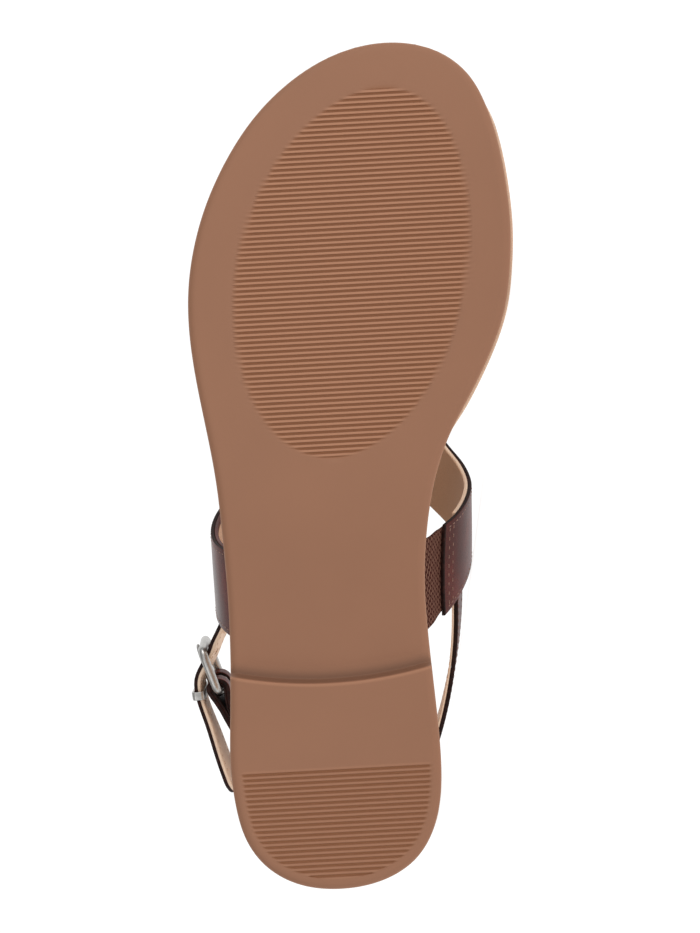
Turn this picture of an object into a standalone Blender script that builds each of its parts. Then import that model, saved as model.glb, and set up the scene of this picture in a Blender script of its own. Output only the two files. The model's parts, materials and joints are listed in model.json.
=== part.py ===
"""A right-foot t-strap sandal, lying on its medial side with the buckle up.

The shoe is drawn in its own frame, in millimetres: x to the lateral side, y from the heel to the toe,
z up from the ground. The last step lays it down on the three points that it rests on.
"""

import math

import bmesh
import bpy
import numpy as np
from mathutils import Matrix, Vector

MM = 0.001
GAP = 0.3

# Plan of the sole: distance from the heel, then the medial and the lateral edge
OUTLINE = (
    (2.0, -12.4, 12.8),
    (8.0, -22.4, 22.3),
    (16.0, -27.7, 27.6),
    (26.0, -30.4, 30.1),
    (38.0, -31.1, 31.0),
    (54.0, -30.5, 30.2),
    (72.0, -29.5, 29.4),
    (90.0, -29.3, 29.2),
    (106.0, -31.0, 29.7),
    (120.0, -34.2, 30.5),
    (132.0, -39.0, 31.9),
    (144.0, -46.0, 33.7),
    (156.0, -52.5, 35.3),
    (168.0, -57.2, 36.1),
    (180.0, -59.4, 35.5),
    (192.0, -60.3, 33.1),
    (204.0, -59.8, 28.9),
    (216.0, -58.3, 22.7),
    (228.0, -55.3, 14.1),
    (238.0, -50.5, 3.4),
    (244.8, -43.0, -7.9),
)
HEEL_TIP = (0.0, 0.0)
TOE_TIP = (-25.5, 249.0)

# Heights of the sole
HEEL_TOP = 12.0
BALL_TOP = 6.0
TOP_SLOPE = (70.0, 150.0)
BREAST = 60.9
BREAST_BOW = 3.6
BREAST_DRAFT = 1.0
BREAST_STEP = 4.0
COVE = 3.5
ARCH = 5.0
ARCH_END = 117.0
SPRING_START = 190.0
SPRING = 6.0
EDGE_ROUND = 2.2
TOP_ROUND = 0.9

# Tread panels
PANEL_DEPTH = 0.5
OVAL_MIDDLE = (-12.6, 181.2)
OVAL_HALF = (34.45, 54.0)
OVAL_LEAN = 0.154
OVAL_EGG = 0.0012
HEEL_PANEL_FRONT = 35.7
HEEL_PANEL_BACK = 3.2
HEEL_PANEL_INSET = 2.6

# Footbed
FOOTBED = 5.0
FOOTBED_INSET = 1.2
FOOTBED_OVERHANG = 0.8
WAIST_INSET = 3.6

# Straps
LEATHER = 2.4
GORE = 1.4
STRAP_WIDTH = 11.0
STRAP = 2.0

# Last: distance from the heel, ridge, its height, then how far each side swells out and its shoulder
LAST = (
    (70.0, -7.6, 80.0, 20.0, 43.0, 11.0, 43.0),
    (100.0, -11.5, 71.0, 21.5, 42.0, 12.3, 45.0),
    (130.0, -15.3, 61.0, 15.0, 37.0, 10.0, 42.0),
    (160.0, -19.2, 47.0, 6.0, 32.0, 6.0, 38.0),
)
MEDIAL_SWELL = 24.0
LATERAL_SWELL = 20.0

# Instep band: place round the last from the medial edge to the lateral one, then its back and front edges
BAND = (
    (0.00, 73.7, 100.5),
    (0.055, 78.0, 105.2),
    (0.09, 81.3, 107.6),
    (0.125, 84.9, 110.3),
    (0.16, 88.5, 113.2),
    (0.20, 92.4, 116.2),
    (0.25, 96.7, 119.8),
    (0.30, 101.2, 124.2),
    (0.36, 107.5, 130.8),
    (0.43, 117.5, 145.0),
    (0.50, 128.0, 157.0),
    (0.57, 118.5, 145.0),
    (0.65, 104.5, 129.0),
    (0.725, 94.3, 119.5),
    (0.80, 86.6, 112.8),
    (0.85, 82.8, 108.9),
    (0.90, 79.9, 105.4),
    (1.00, 75.3, 101.2),
)
GORE_SEAM = 0.055
GORE_INSET = 1.3
STEM_HALF = 0.053
BAND_COLUMNS = 7
MEDIAL_ROWS = 20
STEM_COLUMNS = 4
LATERAL_ROWS = 22

# Stem and toe post: distance from the heel, middle, height, width
STEM = (
    (162.0, -20.0, 45.9, 18.5),
    (167.0, -21.7, 42.8, 15.5),
    (172.5, -23.5, 38.9, 13.5),
    (178.0, -25.2, 33.8, 12.0),
    (182.6, -26.6, 28.2, 10.5),
    (185.8, -27.4, 22.6, 9.0),
    (187.6, -27.8, 17.0, 8.2),
    (188.2, -27.9, 11.65, 8.0),
)
STEM_CROWN = 0.012

# Where the heel strap and the tab start under the band: distance from the heel, place round the last
HEEL_START = ((102.0, 0.172), (93.0, 0.182))
TAB_START = ((98.0, 0.805), (87.5, 0.795))
UNDER_BAND = 0.95

# Heel strap from there round the heel: x, y, z, lean of its top edge to the medial side in degrees
HEEL_PATH = (
    (-39.0, 82.0, 40.6, 8.0),
    (-37.9, 70.0, 43.8, 4.0),
    (-35.3, 56.5, 47.4, 0.0),
    (-30.6, 41.0, 52.0, -4.0),
    (-22.9, 25.5, 56.2, -6.0),
    (-11.6, 14.4, 58.6, -7.0),
    (0.0, 10.8, 59.2, -7.0),
    (11.8, 14.4, 58.4, -7.0),
    (21.4, 25.0, 55.6, -5.0),
)
# Then behind the buckle, and its folded end: distance along the buckle and out from it
HEEL_BEHIND = ((-22.0, -1.3), (-14.0, 0.25), (-6.5, 1.2))
FOLD_BEHIND = ((-6.5, -1.15), (-15.0, -2.3))
FOLD_BEND = 3.7
FOLD_PINCH = 0.65

# Buckle: the middles of its two bars, and how far their tops lean to the medial side in degrees
BACK_BAR = (34.6, 60.0, 46.4)
FRONT_BAR = (38.6, 72.5, 43.4)
BUCKLE_LEAN = 7.0
BAR_HALF = 7.55
WIRE = 1.3
FRAME_CORNER = 2.6
PRONG = 0.8
PRONG_TIP = 1.9
PRONG_SIDE = 1.3
HOLE_ROUND = 1.25
HOLE_PITCH = 7.0
HOLES = (-2, -1, 1, 2)

# Tab: the run up to the buckle, then distance along it and out from it, then the tail
TAB_RUN = ((31.8, 78.4, 40.4, 7.0),)
TAB_THROUGH = ((13.2, -4.2), (10.6, -1.9), (7.4, 1.4), (4.0, 4.6), (0.8, 5.9))
KEEPER_PLACE = (0.0, 5.9)
TAB_TAIL = ((38.2, 49.6, 48.2, 8.0), (35.4, 39.6, 50.0, 12.0), (31.7, 27.0, 51.2, 13.0))
TAIL_ROUND = 5.0
KEEPER_WIDTH = 2.6
KEEPER_SPARE = 0.2
KEEPER_WALL = 0.8
KEEPER_CORNER = 0.9

COLOURS = {
    "outsole": ((0.32, 0.155, 0.093, 1.0), 0.62, 0.0),
    "insole": ((0.62, 0.40, 0.24, 1.0), 0.6, 0.0),
    "upper": ((0.055, 0.016, 0.013, 1.0), 0.3, 0.0),
    "elastic_gore": ((0.10, 0.040, 0.026, 1.0), 0.85, 0.0),
    "heel_strap": ((0.055, 0.016, 0.013, 1.0), 0.3, 0.0),
    "buckle_strap": ((0.055, 0.016, 0.013, 1.0), 0.3, 0.0),
    "buckle_frame": ((0.62, 0.61, 0.59, 1.0), 0.3, 1.0),
    "buckle_prong": ((0.62, 0.61, 0.59, 1.0), 0.3, 1.0),
    "keeper_loop": ((0.66, 0.65, 0.62, 1.0), 0.28, 1.0),
}


def ease(value, start, end):
    t = np.clip((value - start) / (end - start), 0.0, 1.0)
    return t * t * (3.0 - 2.0 * t)


def spline(points, closed=False, columns=None):
    """A cubic curve through the points. The first columns set its pace."""
    points = np.array(points, float)
    if closed:
        points = np.vstack([points, points[:1]])
    chord = np.linalg.norm(np.diff(points[:, :columns], axis=0), axis=1)
    slope = np.diff(points, axis=0) / chord[:, None]
    last = len(points) - 1
    system = np.zeros((last + 1, last + 1))
    right = np.zeros_like(points)
    for i in range(1, last):
        system[i, i - 1 : i + 2] = chord[i], 2.0 * (chord[i - 1] + chord[i]), chord[i - 1]
        right[i] = 3.0 * (chord[i] * slope[i - 1] + chord[i - 1] * slope[i])
    if closed:
        system[0, [last - 1, 0, 1]] = chord[0], 2.0 * (chord[-1] + chord[0]), chord[-1]
        right[0] = 3.0 * (chord[0] * slope[-1] + chord[-1] * slope[0])
        system[last, [0, last]] = 1.0, -1.0
    else:
        system[0, :2] = 2.0, 1.0
        right[0] = 3.0 * slope[0]
        system[last, last - 1 :] = 1.0, 2.0
        right[last] = 3.0 * slope[-1]
    tangent = np.linalg.solve(system, right)
    reach = np.concatenate([[0.0], np.cumsum(chord)])

    def at(distance):
        distance = np.clip(distance, 0.0, reach[-1])
        i = min(int(np.searchsorted(reach, distance, side="right")) - 1, last - 1)
        t = (distance - reach[i]) / chord[i]
        near = (1.0 + 2.0 * t) * (1.0 - t) ** 2 * points[i] + t * (1.0 - t) ** 2 * chord[i] * tangent[i]
        far = t * t * (3.0 - 2.0 * t) * points[i + 1] - t * t * (1.0 - t) * chord[i] * tangent[i + 1]
        return near + far

    return at, reach


def sole_edges():
    """The plan curve as two sides: distance from the heel, across, and the inward normal."""
    lateral = [(row[2], row[0]) for row in OUTLINE]
    medial = [(row[1], row[0]) for row in reversed(OUTLINE)]
    at, reach = spline([HEEL_TIP] + lateral + [TOE_TIP] + medial, closed=True)
    steps = np.linspace(0.0, reach[-1], 1601)
    ring = np.array([at(step) for step in steps])
    along = np.gradient(ring, axis=0)
    along /= np.linalg.norm(along, axis=1)[:, None]
    inward = np.stack([-along[:, 1], along[:, 0]], axis=1)
    toe = int(ring[:, 1].argmax())
    table = np.column_stack([ring[:, 1], ring[:, 0], inward])
    return {"lateral": table[: toe + 1], "medial": table[toe:][::-1]}


EDGES = sole_edges()


def edge(side, y):
    """(x, inward normal) of the sole's plan at this distance from the heel."""
    table = EDGES[side]
    found = [float(np.interp(y, table[:, 0], table[:, i])) for i in (1, 2, 3)]
    return found[0], np.array(found[1:])


def bow(station):
    near = np.clip(abs(station - BREAST) / 34.0, 0.0, 1.0)
    return BREAST_BOW * 0.5 * (1.0 + math.cos(math.pi * near))


def bowed(station, x):
    return station + bow(station) * (x / 30.0) ** 2


def spring(y):
    return SPRING * max(0.0, (y - SPRING_START) / (TOE_TIP[1] - SPRING_START)) ** 2


def sole_top(y):
    return HEEL_TOP + (BALL_TOP - HEEL_TOP) * float(ease(y, *TOP_SLOPE)) + spring(y)


def sole_bottom(station):
    step = BREAST_STEP * float(np.clip((station - BREAST) / BREAST_DRAFT, 0.0, 1.0))
    cove = (ARCH - BREAST_STEP) * float(ease(station, BREAST + BREAST_DRAFT, BREAST + BREAST_DRAFT + COVE))
    arch = 1.0 - float(ease(station, BREAST + 8.0, ARCH_END))
    return (step + cove) * arch + spring(station)


def sole_stations():
    """Rows across the sole, closer at the ends and at the breast."""
    heel = [34.0 * (1.0 - math.cos(math.radians(angle))) for angle in range(10, 91, 10)]
    waist = [42.0, 50.0, BREAST - 1.2, BREAST, BREAST + BREAST_DRAFT]
    cove = [BREAST + BREAST_DRAFT + COVE * part for part in (0.3, 0.65, 1.0)]
    middle = list(np.linspace(BREAST + 9.0, 200.0, 21))
    toe = [TOE_TIP[1] - 43.0 * (1.0 - math.cos(math.radians(angle))) for angle in range(80, 9, -10)]
    return heel + waist + cove + middle + toe


def new_object(name, vertices, faces):
    mesh = bpy.data.meshes.new(name)
    mesh.from_pydata([tuple(float(v) * MM for v in vertex) for vertex in vertices], [], faces)
    made = bmesh.new()
    made.from_mesh(mesh)
    bmesh.ops.recalc_face_normals(made, faces=made.faces)
    made.to_mesh(mesh)
    made.free()
    obj = bpy.data.objects.new(name, mesh)
    bpy.context.scene.collection.objects.link(obj)
    return obj


def dressed(obj):
    colour, rough, metal = COLOURS[obj.name]
    material = bpy.data.materials.new(obj.name)
    material.use_nodes = True
    shader = material.node_tree.nodes["Principled BSDF"]
    shader.inputs["Base Color"].default_value = colour
    shader.inputs["Roughness"].default_value = rough
    shader.inputs["Metallic"].default_value = metal
    obj.data.materials.append(material)
    return obj


def thickened(obj, thickness, offset):
    solid = obj.modifiers.new("thickness", "SOLIDIFY")
    solid.thickness = thickness * MM
    solid.offset = offset
    solid.use_even_offset = True
    return obj


def cut(obj, cutter):
    cutter.hide_render = True
    cutter.display_type = "WIRE"
    hole = obj.modifiers.new(cutter.name, "BOOLEAN")
    hole.operation = "DIFFERENCE"
    hole.solver = "EXACT"
    hole.object = cutter


def slab(name, loops, top, bottom, columns):
    """A plate with the sole's plan. Each loop is (inset, height), and the caps follow top and bottom."""
    stations = sole_stations()
    sides = []
    for side in ("medial", "lateral"):
        rows = []
        for station in stations:
            y = station
            for _ in range(4):
                x, inward = edge(side, y)
                y = bowed(station, x)
            rows.append((np.array([x, y]), inward))
        sides.append(rows)
    medial, lateral = sides
    ends = ((np.array(HEEL_TIP), np.array([0.0, 1.0])), (np.array(TOE_TIP), np.array([0.0, -1.0])))
    ring = [(0.0, "heel", *ends[0])]
    ring += [(station, "lateral", *row) for station, row in zip(stations, lateral)]
    ring += [(TOE_TIP[1], "toe", *ends[1])]
    ring += [(station, "medial", *row) for station, row in zip(stations[::-1], medial[::-1])]
    vertices, faces = [], []
    count = len(ring)
    for inset, height in loops:
        for station, side, point, inward in ring:
            x, y = point + inward * inset(point[1], side)
            vertices.append((x, y, height(station, y)))
    for i in range(len(loops) - 1):
        for j in range(count):
            a, b = i * count + j, i * count + (j + 1) % count
            faces.append((a, b, b + count, a + count))
    rows = len(stations)
    for start, level in ((0, top), ((len(loops) - 1) * count, bottom)):
        grid = []
        for j, station in enumerate(stations):
            left = start + count - 1 - j
            right = start + 1 + j
            line = [left]
            (xa, ya, _), (xb, yb, _) = vertices[left], vertices[right]
            for k in range(1, columns):
                part = k / columns
                x = xa + (xb - xa) * part
                chord = bowed(station, xa) + (bowed(station, xb) - bowed(station, xa)) * part
                y = ya + (yb - ya) * part + bowed(station, x) - chord
                line.append(len(vertices))
                vertices.append((x, y, level(station, y)))
            grid.append(line + [right])
        for k in range(columns):
            faces.append((start, grid[0][k], grid[0][k + 1]))
            faces.append((start + rows + 1, grid[-1][k], grid[-1][k + 1]))
        for near, far in zip(grid, grid[1:]):
            for k in range(columns):
                faces.append((near[k], near[k + 1], far[k + 1], far[k]))
    return new_object(name, vertices, faces)


def panel_cutter(name, lines):
    """A cutter under the sole. Each line across it is (y, left, right)."""
    vertices, faces = [], []
    for y, left, right in lines:
        deep = sole_bottom(y) + PANEL_DEPTH
        vertices += [(left, y, deep), (right, y, deep), (right, y, -4.0), (left, y, -4.0)]
    for i in range(0, 4 * len(lines) - 4, 4):
        for k in range(4):
            faces.append((i + k, i + (k + 1) % 4, i + 4 + (k + 1) % 4, i + 4 + k))
    faces += [(0, 1, 2, 3), tuple(len(vertices) - 4 + k for k in range(4))]
    return new_object(name, vertices, faces)


def oval_line(turn):
    out = -math.cos(turn)
    y = OVAL_MIDDLE[1] + OVAL_HALF[1] * out
    rise = y - OVAL_MIDDLE[1]
    middle = OVAL_MIDDLE[0] - OVAL_LEAN * rise - OVAL_EGG * max(rise, 0.0) ** 2
    half = OVAL_HALF[0] * math.sin(turn)
    return y, middle - half, middle + half


def outsole():
    def wall(inset):
        return lambda y, side: inset

    loops = (
        (wall(TOP_ROUND), lambda s, y: sole_top(y)),
        (wall(0.0), lambda s, y: sole_top(y) - TOP_ROUND),
        (wall(0.0), lambda s, y: sole_bottom(s) + EDGE_ROUND),
        (wall(0.29 * EDGE_ROUND), lambda s, y: sole_bottom(s) + 0.29 * EDGE_ROUND),
        (wall(EDGE_ROUND), lambda s, y: sole_bottom(s)),
    )
    obj = slab("outsole", loops, lambda s, y: sole_top(y), lambda s, y: sole_bottom(s), 6)
    turns = np.linspace(0.09, math.pi - 0.09, 29)
    cut(obj, panel_cutter("forefoot_panel", [oval_line(turn) for turn in turns]))
    lines = []
    for y in np.concatenate([HEEL_PANEL_BACK + np.array([0.0, 0.8, 2.2, 4.4, 7.4, 11.5, 17.0, 24.0]), [HEEL_PANEL_FRONT]]):
        (left, first), (right, second) = edge("medial", y), edge("lateral", y)
        inset = HEEL_PANEL_INSET / max(0.35, abs(first[0]))
        lines.append((y, left + inset, right - inset))
    cut(obj, panel_cutter("heel_panel", lines))
    return dressed(obj)


def footbed_inset(y, side):
    waist = float(ease(y, 58.0, 70.0) * (1.0 - ease(y, 106.0, 118.0)))
    inset = FOOTBED_INSET + (WAIST_INSET - FOOTBED_INSET) * waist
    if side == "medial":
        over = float(ease(y, 122.0, 142.0) * (1.0 - ease(y, 222.0, 242.0)))
        inset -= (FOOTBED_INSET + FOOTBED_OVERHANG) * over
    return inset


def insole():
    def rim(more):
        return lambda y, side: footbed_inset(y, side) + more

    loops = (
        (rim(1.6), lambda s, y: sole_top(y) + GAP + FOOTBED),
        (rim(0.45), lambda s, y: sole_top(y) + GAP + FOOTBED - 0.45),
        (rim(0.0), lambda s, y: sole_top(y) + GAP + FOOTBED - 1.6),
        (rim(0.0), lambda s, y: sole_top(y) + GAP),
    )
    obj = slab("insole", loops, lambda s, y: sole_top(y) + GAP + FOOTBED, lambda s, y: sole_top(y) + GAP, 6)
    return dressed(obj)


LAST_AT, LAST_REACH = spline(LAST, columns=1)


def last_point(y, place):
    """The outside of the upper on the last, at this distance from the heel and place round it."""
    _, ridge, height, medial, inner, lateral, outer = LAST_AT(y - LAST[0][0])
    foot = sole_top(y) + GAP
    if place <= 0.5:
        t = 2.0 * place
        x = edge("medial", y)[0] + 0.6
        corners = ((x, foot), (x - medial, foot + MEDIAL_SWELL), (ridge - inner, height), (ridge, height))
    else:
        t = 2.0 * (1.0 - place)
        x = edge("lateral", y)[0] - 0.6
        corners = ((x, foot), (x + lateral, foot + LATERAL_SWELL), (ridge + outer, height), (ridge, height))
    weights = ((1.0 - t) ** 3, 3.0 * t * (1.0 - t) ** 2, 3.0 * t * t * (1.0 - t), t**3)
    x, z = (sum(w * corner[i] for w, corner in zip(weights, corners)) for i in (0, 1))
    return x, y, z


def under_band(y, place):
    """Middle of a strap that lies against the inside of the band: x, y, z and lean."""
    along = np.subtract(last_point(y + 0.5, place), last_point(y - 0.5, place))
    round_it = np.subtract(last_point(y, place + 0.005), last_point(y, place - 0.005))
    out = np.cross(round_it, along)
    out /= np.linalg.norm(out)
    x, y, z = last_point(y, place) - out * (LEATHER + UNDER_BAND + 0.5 * STRAP)
    rising = round_it if round_it[2] > 0.0 else -round_it
    return x, y, z, math.degrees(math.atan2(-rising[0], rising[2]))


BAND_AT, BAND_REACH = spline([(100.0 * row[0], row[1], row[2]) for row in BAND], columns=1)


def band_line(place, columns, inset=0.0):
    _, back, front = BAND_AT(100.0 * place)
    return [last_point(back + inset + (front - back - 2.0 * inset) * k / columns, place) for k in range(columns + 1)]


def grid_faces(rows, columns, skip=()):
    faces = []
    wide = columns + 1
    for i in range(rows - 1):
        for k in range(columns):
            if (i, k) not in skip:
                a = i * wide + k
                faces.append((a, a + wide, a + wide + 1, a + 1))
    return faces


def upper():
    seam = GORE_SEAM + 0.004
    places = list(np.linspace(seam, 0.5 - STEM_HALF, MEDIAL_ROWS, endpoint=False))
    places += list(np.linspace(0.5 - STEM_HALF, 0.5 + STEM_HALF, STEM_COLUMNS, endpoint=False))
    places += list(np.linspace(0.5 + STEM_HALF, 1.0, LATERAL_ROWS))
    vertices = [point for place in places for point in band_line(place, BAND_COLUMNS)]
    faces = grid_faces(len(places), BAND_COLUMNS)
    wide = BAND_COLUMNS + 1
    near = [(MEDIAL_ROWS + k) * wide + BAND_COLUMNS for k in range(STEM_COLUMNS + 1)]
    for y, middle, height, width in STEM:
        far = []
        for k in range(STEM_COLUMNS + 1):
            side = width * (k / STEM_COLUMNS - 0.5)
            far.append(len(vertices))
            vertices.append((middle + side, y, height - STEM_CROWN * side * side))
        for k in range(STEM_COLUMNS):
            faces.append((near[k], near[k + 1], far[k + 1], far[k]))
        near = far
    for i in near:
        vertices[i] = (*vertices[i][:2], STEM[-1][2])
    return dressed(thickened(new_object("upper", vertices, faces), LEATHER, -1.0))


def elastic_gore():
    places = np.linspace(0.0, GORE_SEAM, 5)
    vertices = []
    for place in places:
        vertices += band_line(place, 6, GORE_INSET * place / GORE_SEAM)
    obj = new_object("elastic_gore", vertices, grid_faces(len(places), 6))
    return dressed(thickened(obj, GORE, -1.0))


def buckle_axes():
    """The buckle's own axes: forward from the back bar, out from the foot, and up along the bars."""
    forward = Vector(FRONT_BAR) - Vector(BACK_BAR)
    length = forward.length
    forward.normalize()
    lean = math.radians(BUCKLE_LEAN)
    up = Vector((-math.sin(lean), 0.0, math.cos(lean)))
    up = (up - forward * up.dot(forward)).normalized()
    out = forward.cross(up)
    if out.x < 0.0:
        out.negate()
    return forward, out, up, length


FORWARD, OUT, UP, BUCKLE_LENGTH = buckle_axes()


def at_buckle(along, out, up=0.0):
    return Vector(BACK_BAR) + FORWARD * along + OUT * out + UP * up


def run(points, pitch):
    """Frames along a strap: position, direction, across and outward, about one for each pitch."""
    at, reach = spline(points, columns=3)
    steps = np.linspace(0.0, reach[-1], max(2, int(round(reach[-1] / pitch)) + 1))
    frames = []
    for step in steps:
        here = at(step)
        ahead = Vector((at(step + 0.2) - at(step - 0.2))[:3]).normalized()
        out = ahead.cross(Vector((0.0, 0.0, 1.0))).normalized()
        lean = math.radians(here[3])
        across = Vector((0.0, 0.0, 1.0)) - ahead * ahead.z
        across = (across.normalized() * math.cos(lean) + out * math.sin(lean)).normalized()
        frames.append((Vector(here[:3]), ahead, across, across.cross(ahead)))
    return steps, frames


def tab_points():
    through = [(*at_buckle(along, out), BUCKLE_LEAN) for along, out in TAB_THROUGH]
    return [under_band(*row) for row in TAB_START] + list(TAB_RUN) + through + list(TAB_TAIL)


def tube(name, path, radius, sides, closed):
    """A round wire along a path of points."""
    vertices, faces = [], []
    count = len(path)
    side = None
    for i, point in enumerate(path):
        before = path[(i - 1) % count] if closed or i else point
        after = path[(i + 1) % count] if closed or i < count - 1 else point
        ahead = (after - before).normalized()
        if side is None:
            side = ahead.orthogonal().normalized()
        side = (side - ahead * side.dot(ahead)).normalized()
        other = ahead.cross(side)
        for k in range(sides):
            turn = 2.0 * math.pi * k / sides
            vertices.append(point + (side * math.cos(turn) + other * math.sin(turn)) * radius)
    for i in range(count if closed else count - 1):
        for k in range(sides):
            a, b = i * sides, ((i + 1) % count) * sides
            faces.append((a + k, a + (k + 1) % sides, b + (k + 1) % sides, b + k))
    if not closed:
        faces += [tuple(range(sides)), tuple(range((count - 1) * sides, count * sides))]
    return new_object(name, vertices, faces)


def heel_strap():
    """The sling, its fold round the back bar, and the slot in the fold for the prong."""
    turn = WIRE + GAP + 0.5 * STRAP
    points = [under_band(*row) for row in HEEL_START] + list(HEEL_PATH)
    points += [(*at_buckle(along, out), -BUCKLE_LEAN) for along, out in HEEL_BEHIND]
    _, frames = run(points, 4.0)
    lines = [(frame[0], frame[2]) for frame in frames]
    pinched = FOLD_PINCH * turn
    fold = [at_buckle(-FOLD_BEND, pinched)]
    for angle in range(0, 181, 20):
        turned = math.radians(angle)
        fold.append(at_buckle(turn * math.sin(turned), turn * math.cos(turned)))
    fold.append(at_buckle(-FOLD_BEND, -pinched))
    fold += [at_buckle(along, out) for along, out in FOLD_BEHIND]
    slot = {(len(lines) - 1 + i, 1) for i in range(1, len(fold) - 2)}
    lines += [(point, UP) for point in fold]
    widths = (-0.5 * STRAP_WIDTH, -PRONG_SIDE, PRONG_SIDE, 0.5 * STRAP_WIDTH)
    vertices = [point + up * width for point, up in lines for width in widths]
    obj = new_object("heel_strap", vertices, grid_faces(len(lines), 3, slot))
    return dressed(thickened(obj, STRAP, 0.0))


def prong_path():
    reach = WIRE + GAP + PRONG
    path = []
    for angle in range(-215, 1, 24):
        turned = math.radians(angle)
        path.append(at_buckle(reach * math.sin(turned), reach * math.cos(turned)))
    for along in np.linspace(1.5, BUCKLE_LENGTH + PRONG_TIP, 8):
        path.append(at_buckle(float(along), reach))
    return path


def buckle_strap():
    steps, frames = run(tab_points(), 3.0)
    end = steps[-1]
    parts = (-0.5, -0.46, -0.36, -0.2, 0.0, 0.2, 0.36, 0.46, 0.5)
    vertices = []
    for step, (point, ahead, across, out) in zip(steps, frames):
        for part in parts:
            side = 2.0 * part
            back = TAIL_ROUND * (1.0 - math.sqrt(max(0.0, 1.0 - 0.985 * side * side)))
            near = float(ease(step, end - 14.0, end))
            vertices.append(point + across * STRAP_WIDTH * part - ahead * back * near)
    obj = new_object("buckle_strap", vertices, grid_faces(len(frames), len(parts) - 1))
    thickened(obj, STRAP, 0.0)
    cut(obj, tube("prong_way", prong_path(), PRONG + 0.4, 10, False))
    middle = min(range(len(frames)), key=lambda i: (frames[i][0] - at_buckle(6.6, 2.2)).length)
    at, _ = spline(tab_points(), columns=3)
    for i in HOLES:
        place = steps[middle] + HOLE_PITCH * i
        here = Vector(at(place)[:3])
        frame = min(frames, key=lambda found: (found[0] - here).length)
        ends = [here + frame[3] * 4.0 * sign for sign in (-1.0, 1.0)]
        cut(obj, tube(f"punch_{'back' if i > 0 else 'front'}_{abs(i)}", ends, HOLE_ROUND, 12, False))
    return dressed(obj)


def rounded_loop(half_along, half_up, corner, steps):
    """Points round a rectangle with round corners."""
    points = []
    for sign_a, sign_b, start in ((1, 1, 0), (-1, 1, 90), (-1, -1, 180), (1, -1, 270)):
        for i in range(steps + 1):
            turned = math.radians(start + 90.0 * i / steps)
            a = sign_a * (half_along - corner) + corner * math.cos(turned)
            b = sign_b * (half_up - corner) + corner * math.sin(turned)
            points.append((a, b))
    return points


def buckle_frame():
    half = 0.5 * BUCKLE_LENGTH
    loop = rounded_loop(half, BAR_HALF, FRAME_CORNER, 4)
    path = [at_buckle(half + a, 0.0, b) for a, b in loop]
    return dressed(tube("buckle_frame", path, WIRE, 10, True))


def buckle_prong():
    return dressed(tube("buckle_prong", prong_path(), PRONG, 8, False))


def keeper_loop():
    _, frames = run(tab_points(), 1.0)
    target = at_buckle(*KEEPER_PLACE)
    point, ahead, across, out = min(frames, key=lambda frame: (frame[0] - target).length)
    wall = 0.5 * KEEPER_WALL
    loop = rounded_loop(0.5 * STRAP + KEEPER_SPARE + wall, 0.5 * STRAP_WIDTH + 0.4 + wall, KEEPER_CORNER, 3)
    vertices = []
    for a, b in loop:
        for side in (-0.5, 0.5):
            vertices.append(point + out * a + across * b + ahead * side * KEEPER_WIDTH)
    count = len(loop)
    faces = []
    for i in range(count):
        a, b = 2 * i, 2 * ((i + 1) % count)
        faces.append((a, b, b + 1, a + 1))
    obj = new_object("keeper_loop", vertices, faces)
    return dressed(thickened(obj, KEEPER_WALL, 0.0))


def solid_points(nodes):
    """The corners and the middle of the volume of these solids, in the shoe's frame, in metres."""
    graph = bpy.context.evaluated_depsgraph_get()
    corners, volume, moment = [], 0.0, Vector()
    for obj in nodes:
        evaluated = obj.evaluated_get(graph)
        mesh = evaluated.to_mesh()
        mesh.calc_loop_triangles()
        corners += [vertex.co.copy() for vertex in mesh.vertices]
        for triangle in mesh.loop_triangles:
            a, b, c = (mesh.vertices[i].co for i in triangle.vertices)
            piece = a.dot(b.cross(c)) / 6.0
            volume += piece
            moment += (a + b + c) * piece / 4.0
        evaluated.to_mesh_clear()
    return corners, moment / volume


def floor_under(corners, middle):
    """The three points that the shoe rests on, medial side down: the face of its hull under its middle."""
    hull = bmesh.new()
    for corner in corners:
        hull.verts.new(corner)
    bmesh.ops.convex_hull(hull, input=hull.verts)
    down = Vector((-1.0, 0.0, 0.0))
    bmesh.ops.triangulate(hull, faces=hull.faces)
    hull.normal_update()
    best = None
    for face in hull.faces:
        if face.normal.dot(down) < 0.5:
            continue
        a, b, c = (vertex.co for vertex in face.verts)
        normal = (b - a).cross(c - a).normalized()
        reach = (a - middle).dot(normal) / down.dot(normal)
        hit = middle + down * reach
        turns = [(q - p).cross(hit - p).dot(normal) for p, q in ((a, b), (b, c), (c, a))]
        inside = min(min(turns), -max(turns), key=abs) if min(turns) * max(turns) < 0 else 1.0
        if min(turns) >= 0.0 or max(turns) <= 0.0 or best is None:
            best = (a.copy(), b.copy(), c.copy(), face.normal.copy())
            if inside == 1.0 and (min(turns) >= 0.0 or max(turns) <= 0.0):
                break
    hull.free()
    return best


def lay_down(nodes):
    corners, middle = solid_points(nodes)
    a, _, _, down = floor_under(corners, middle)
    up = -down
    toe = Vector((0.0, 1.0, 0.0))
    toe = (toe - up * toe.dot(up)).normalized()
    turn = Matrix((toe, up.cross(toe), up))
    placed = [turn @ corner for corner in corners]
    low = Vector([min(point[i] for point in placed) for i in range(3)])
    high = Vector([max(point[i] for point in placed) for i in range(3)])
    move = Vector((0.5 * (low.x + high.x), 0.5 * (low.y + high.y), low.z))
    stand = bpy.data.objects.new("stand", None)
    bpy.context.scene.collection.objects.link(stand)
    stand.matrix_world = Matrix.Translation(-move) @ turn.to_4x4()
    for obj in bpy.data.objects:
        if obj.type == "MESH":
            obj.parent = stand


def main():
    for obj in list(bpy.data.objects):
        bpy.data.objects.remove(obj, do_unlink=True)
    nodes = [outsole(), insole(), upper(), elastic_gore(), heel_strap(), buckle_strap()]
    nodes += [buckle_frame(), buckle_prong(), keeper_loop()]
    bpy.context.view_layer.update()
    lay_down(nodes)


main()
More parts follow.
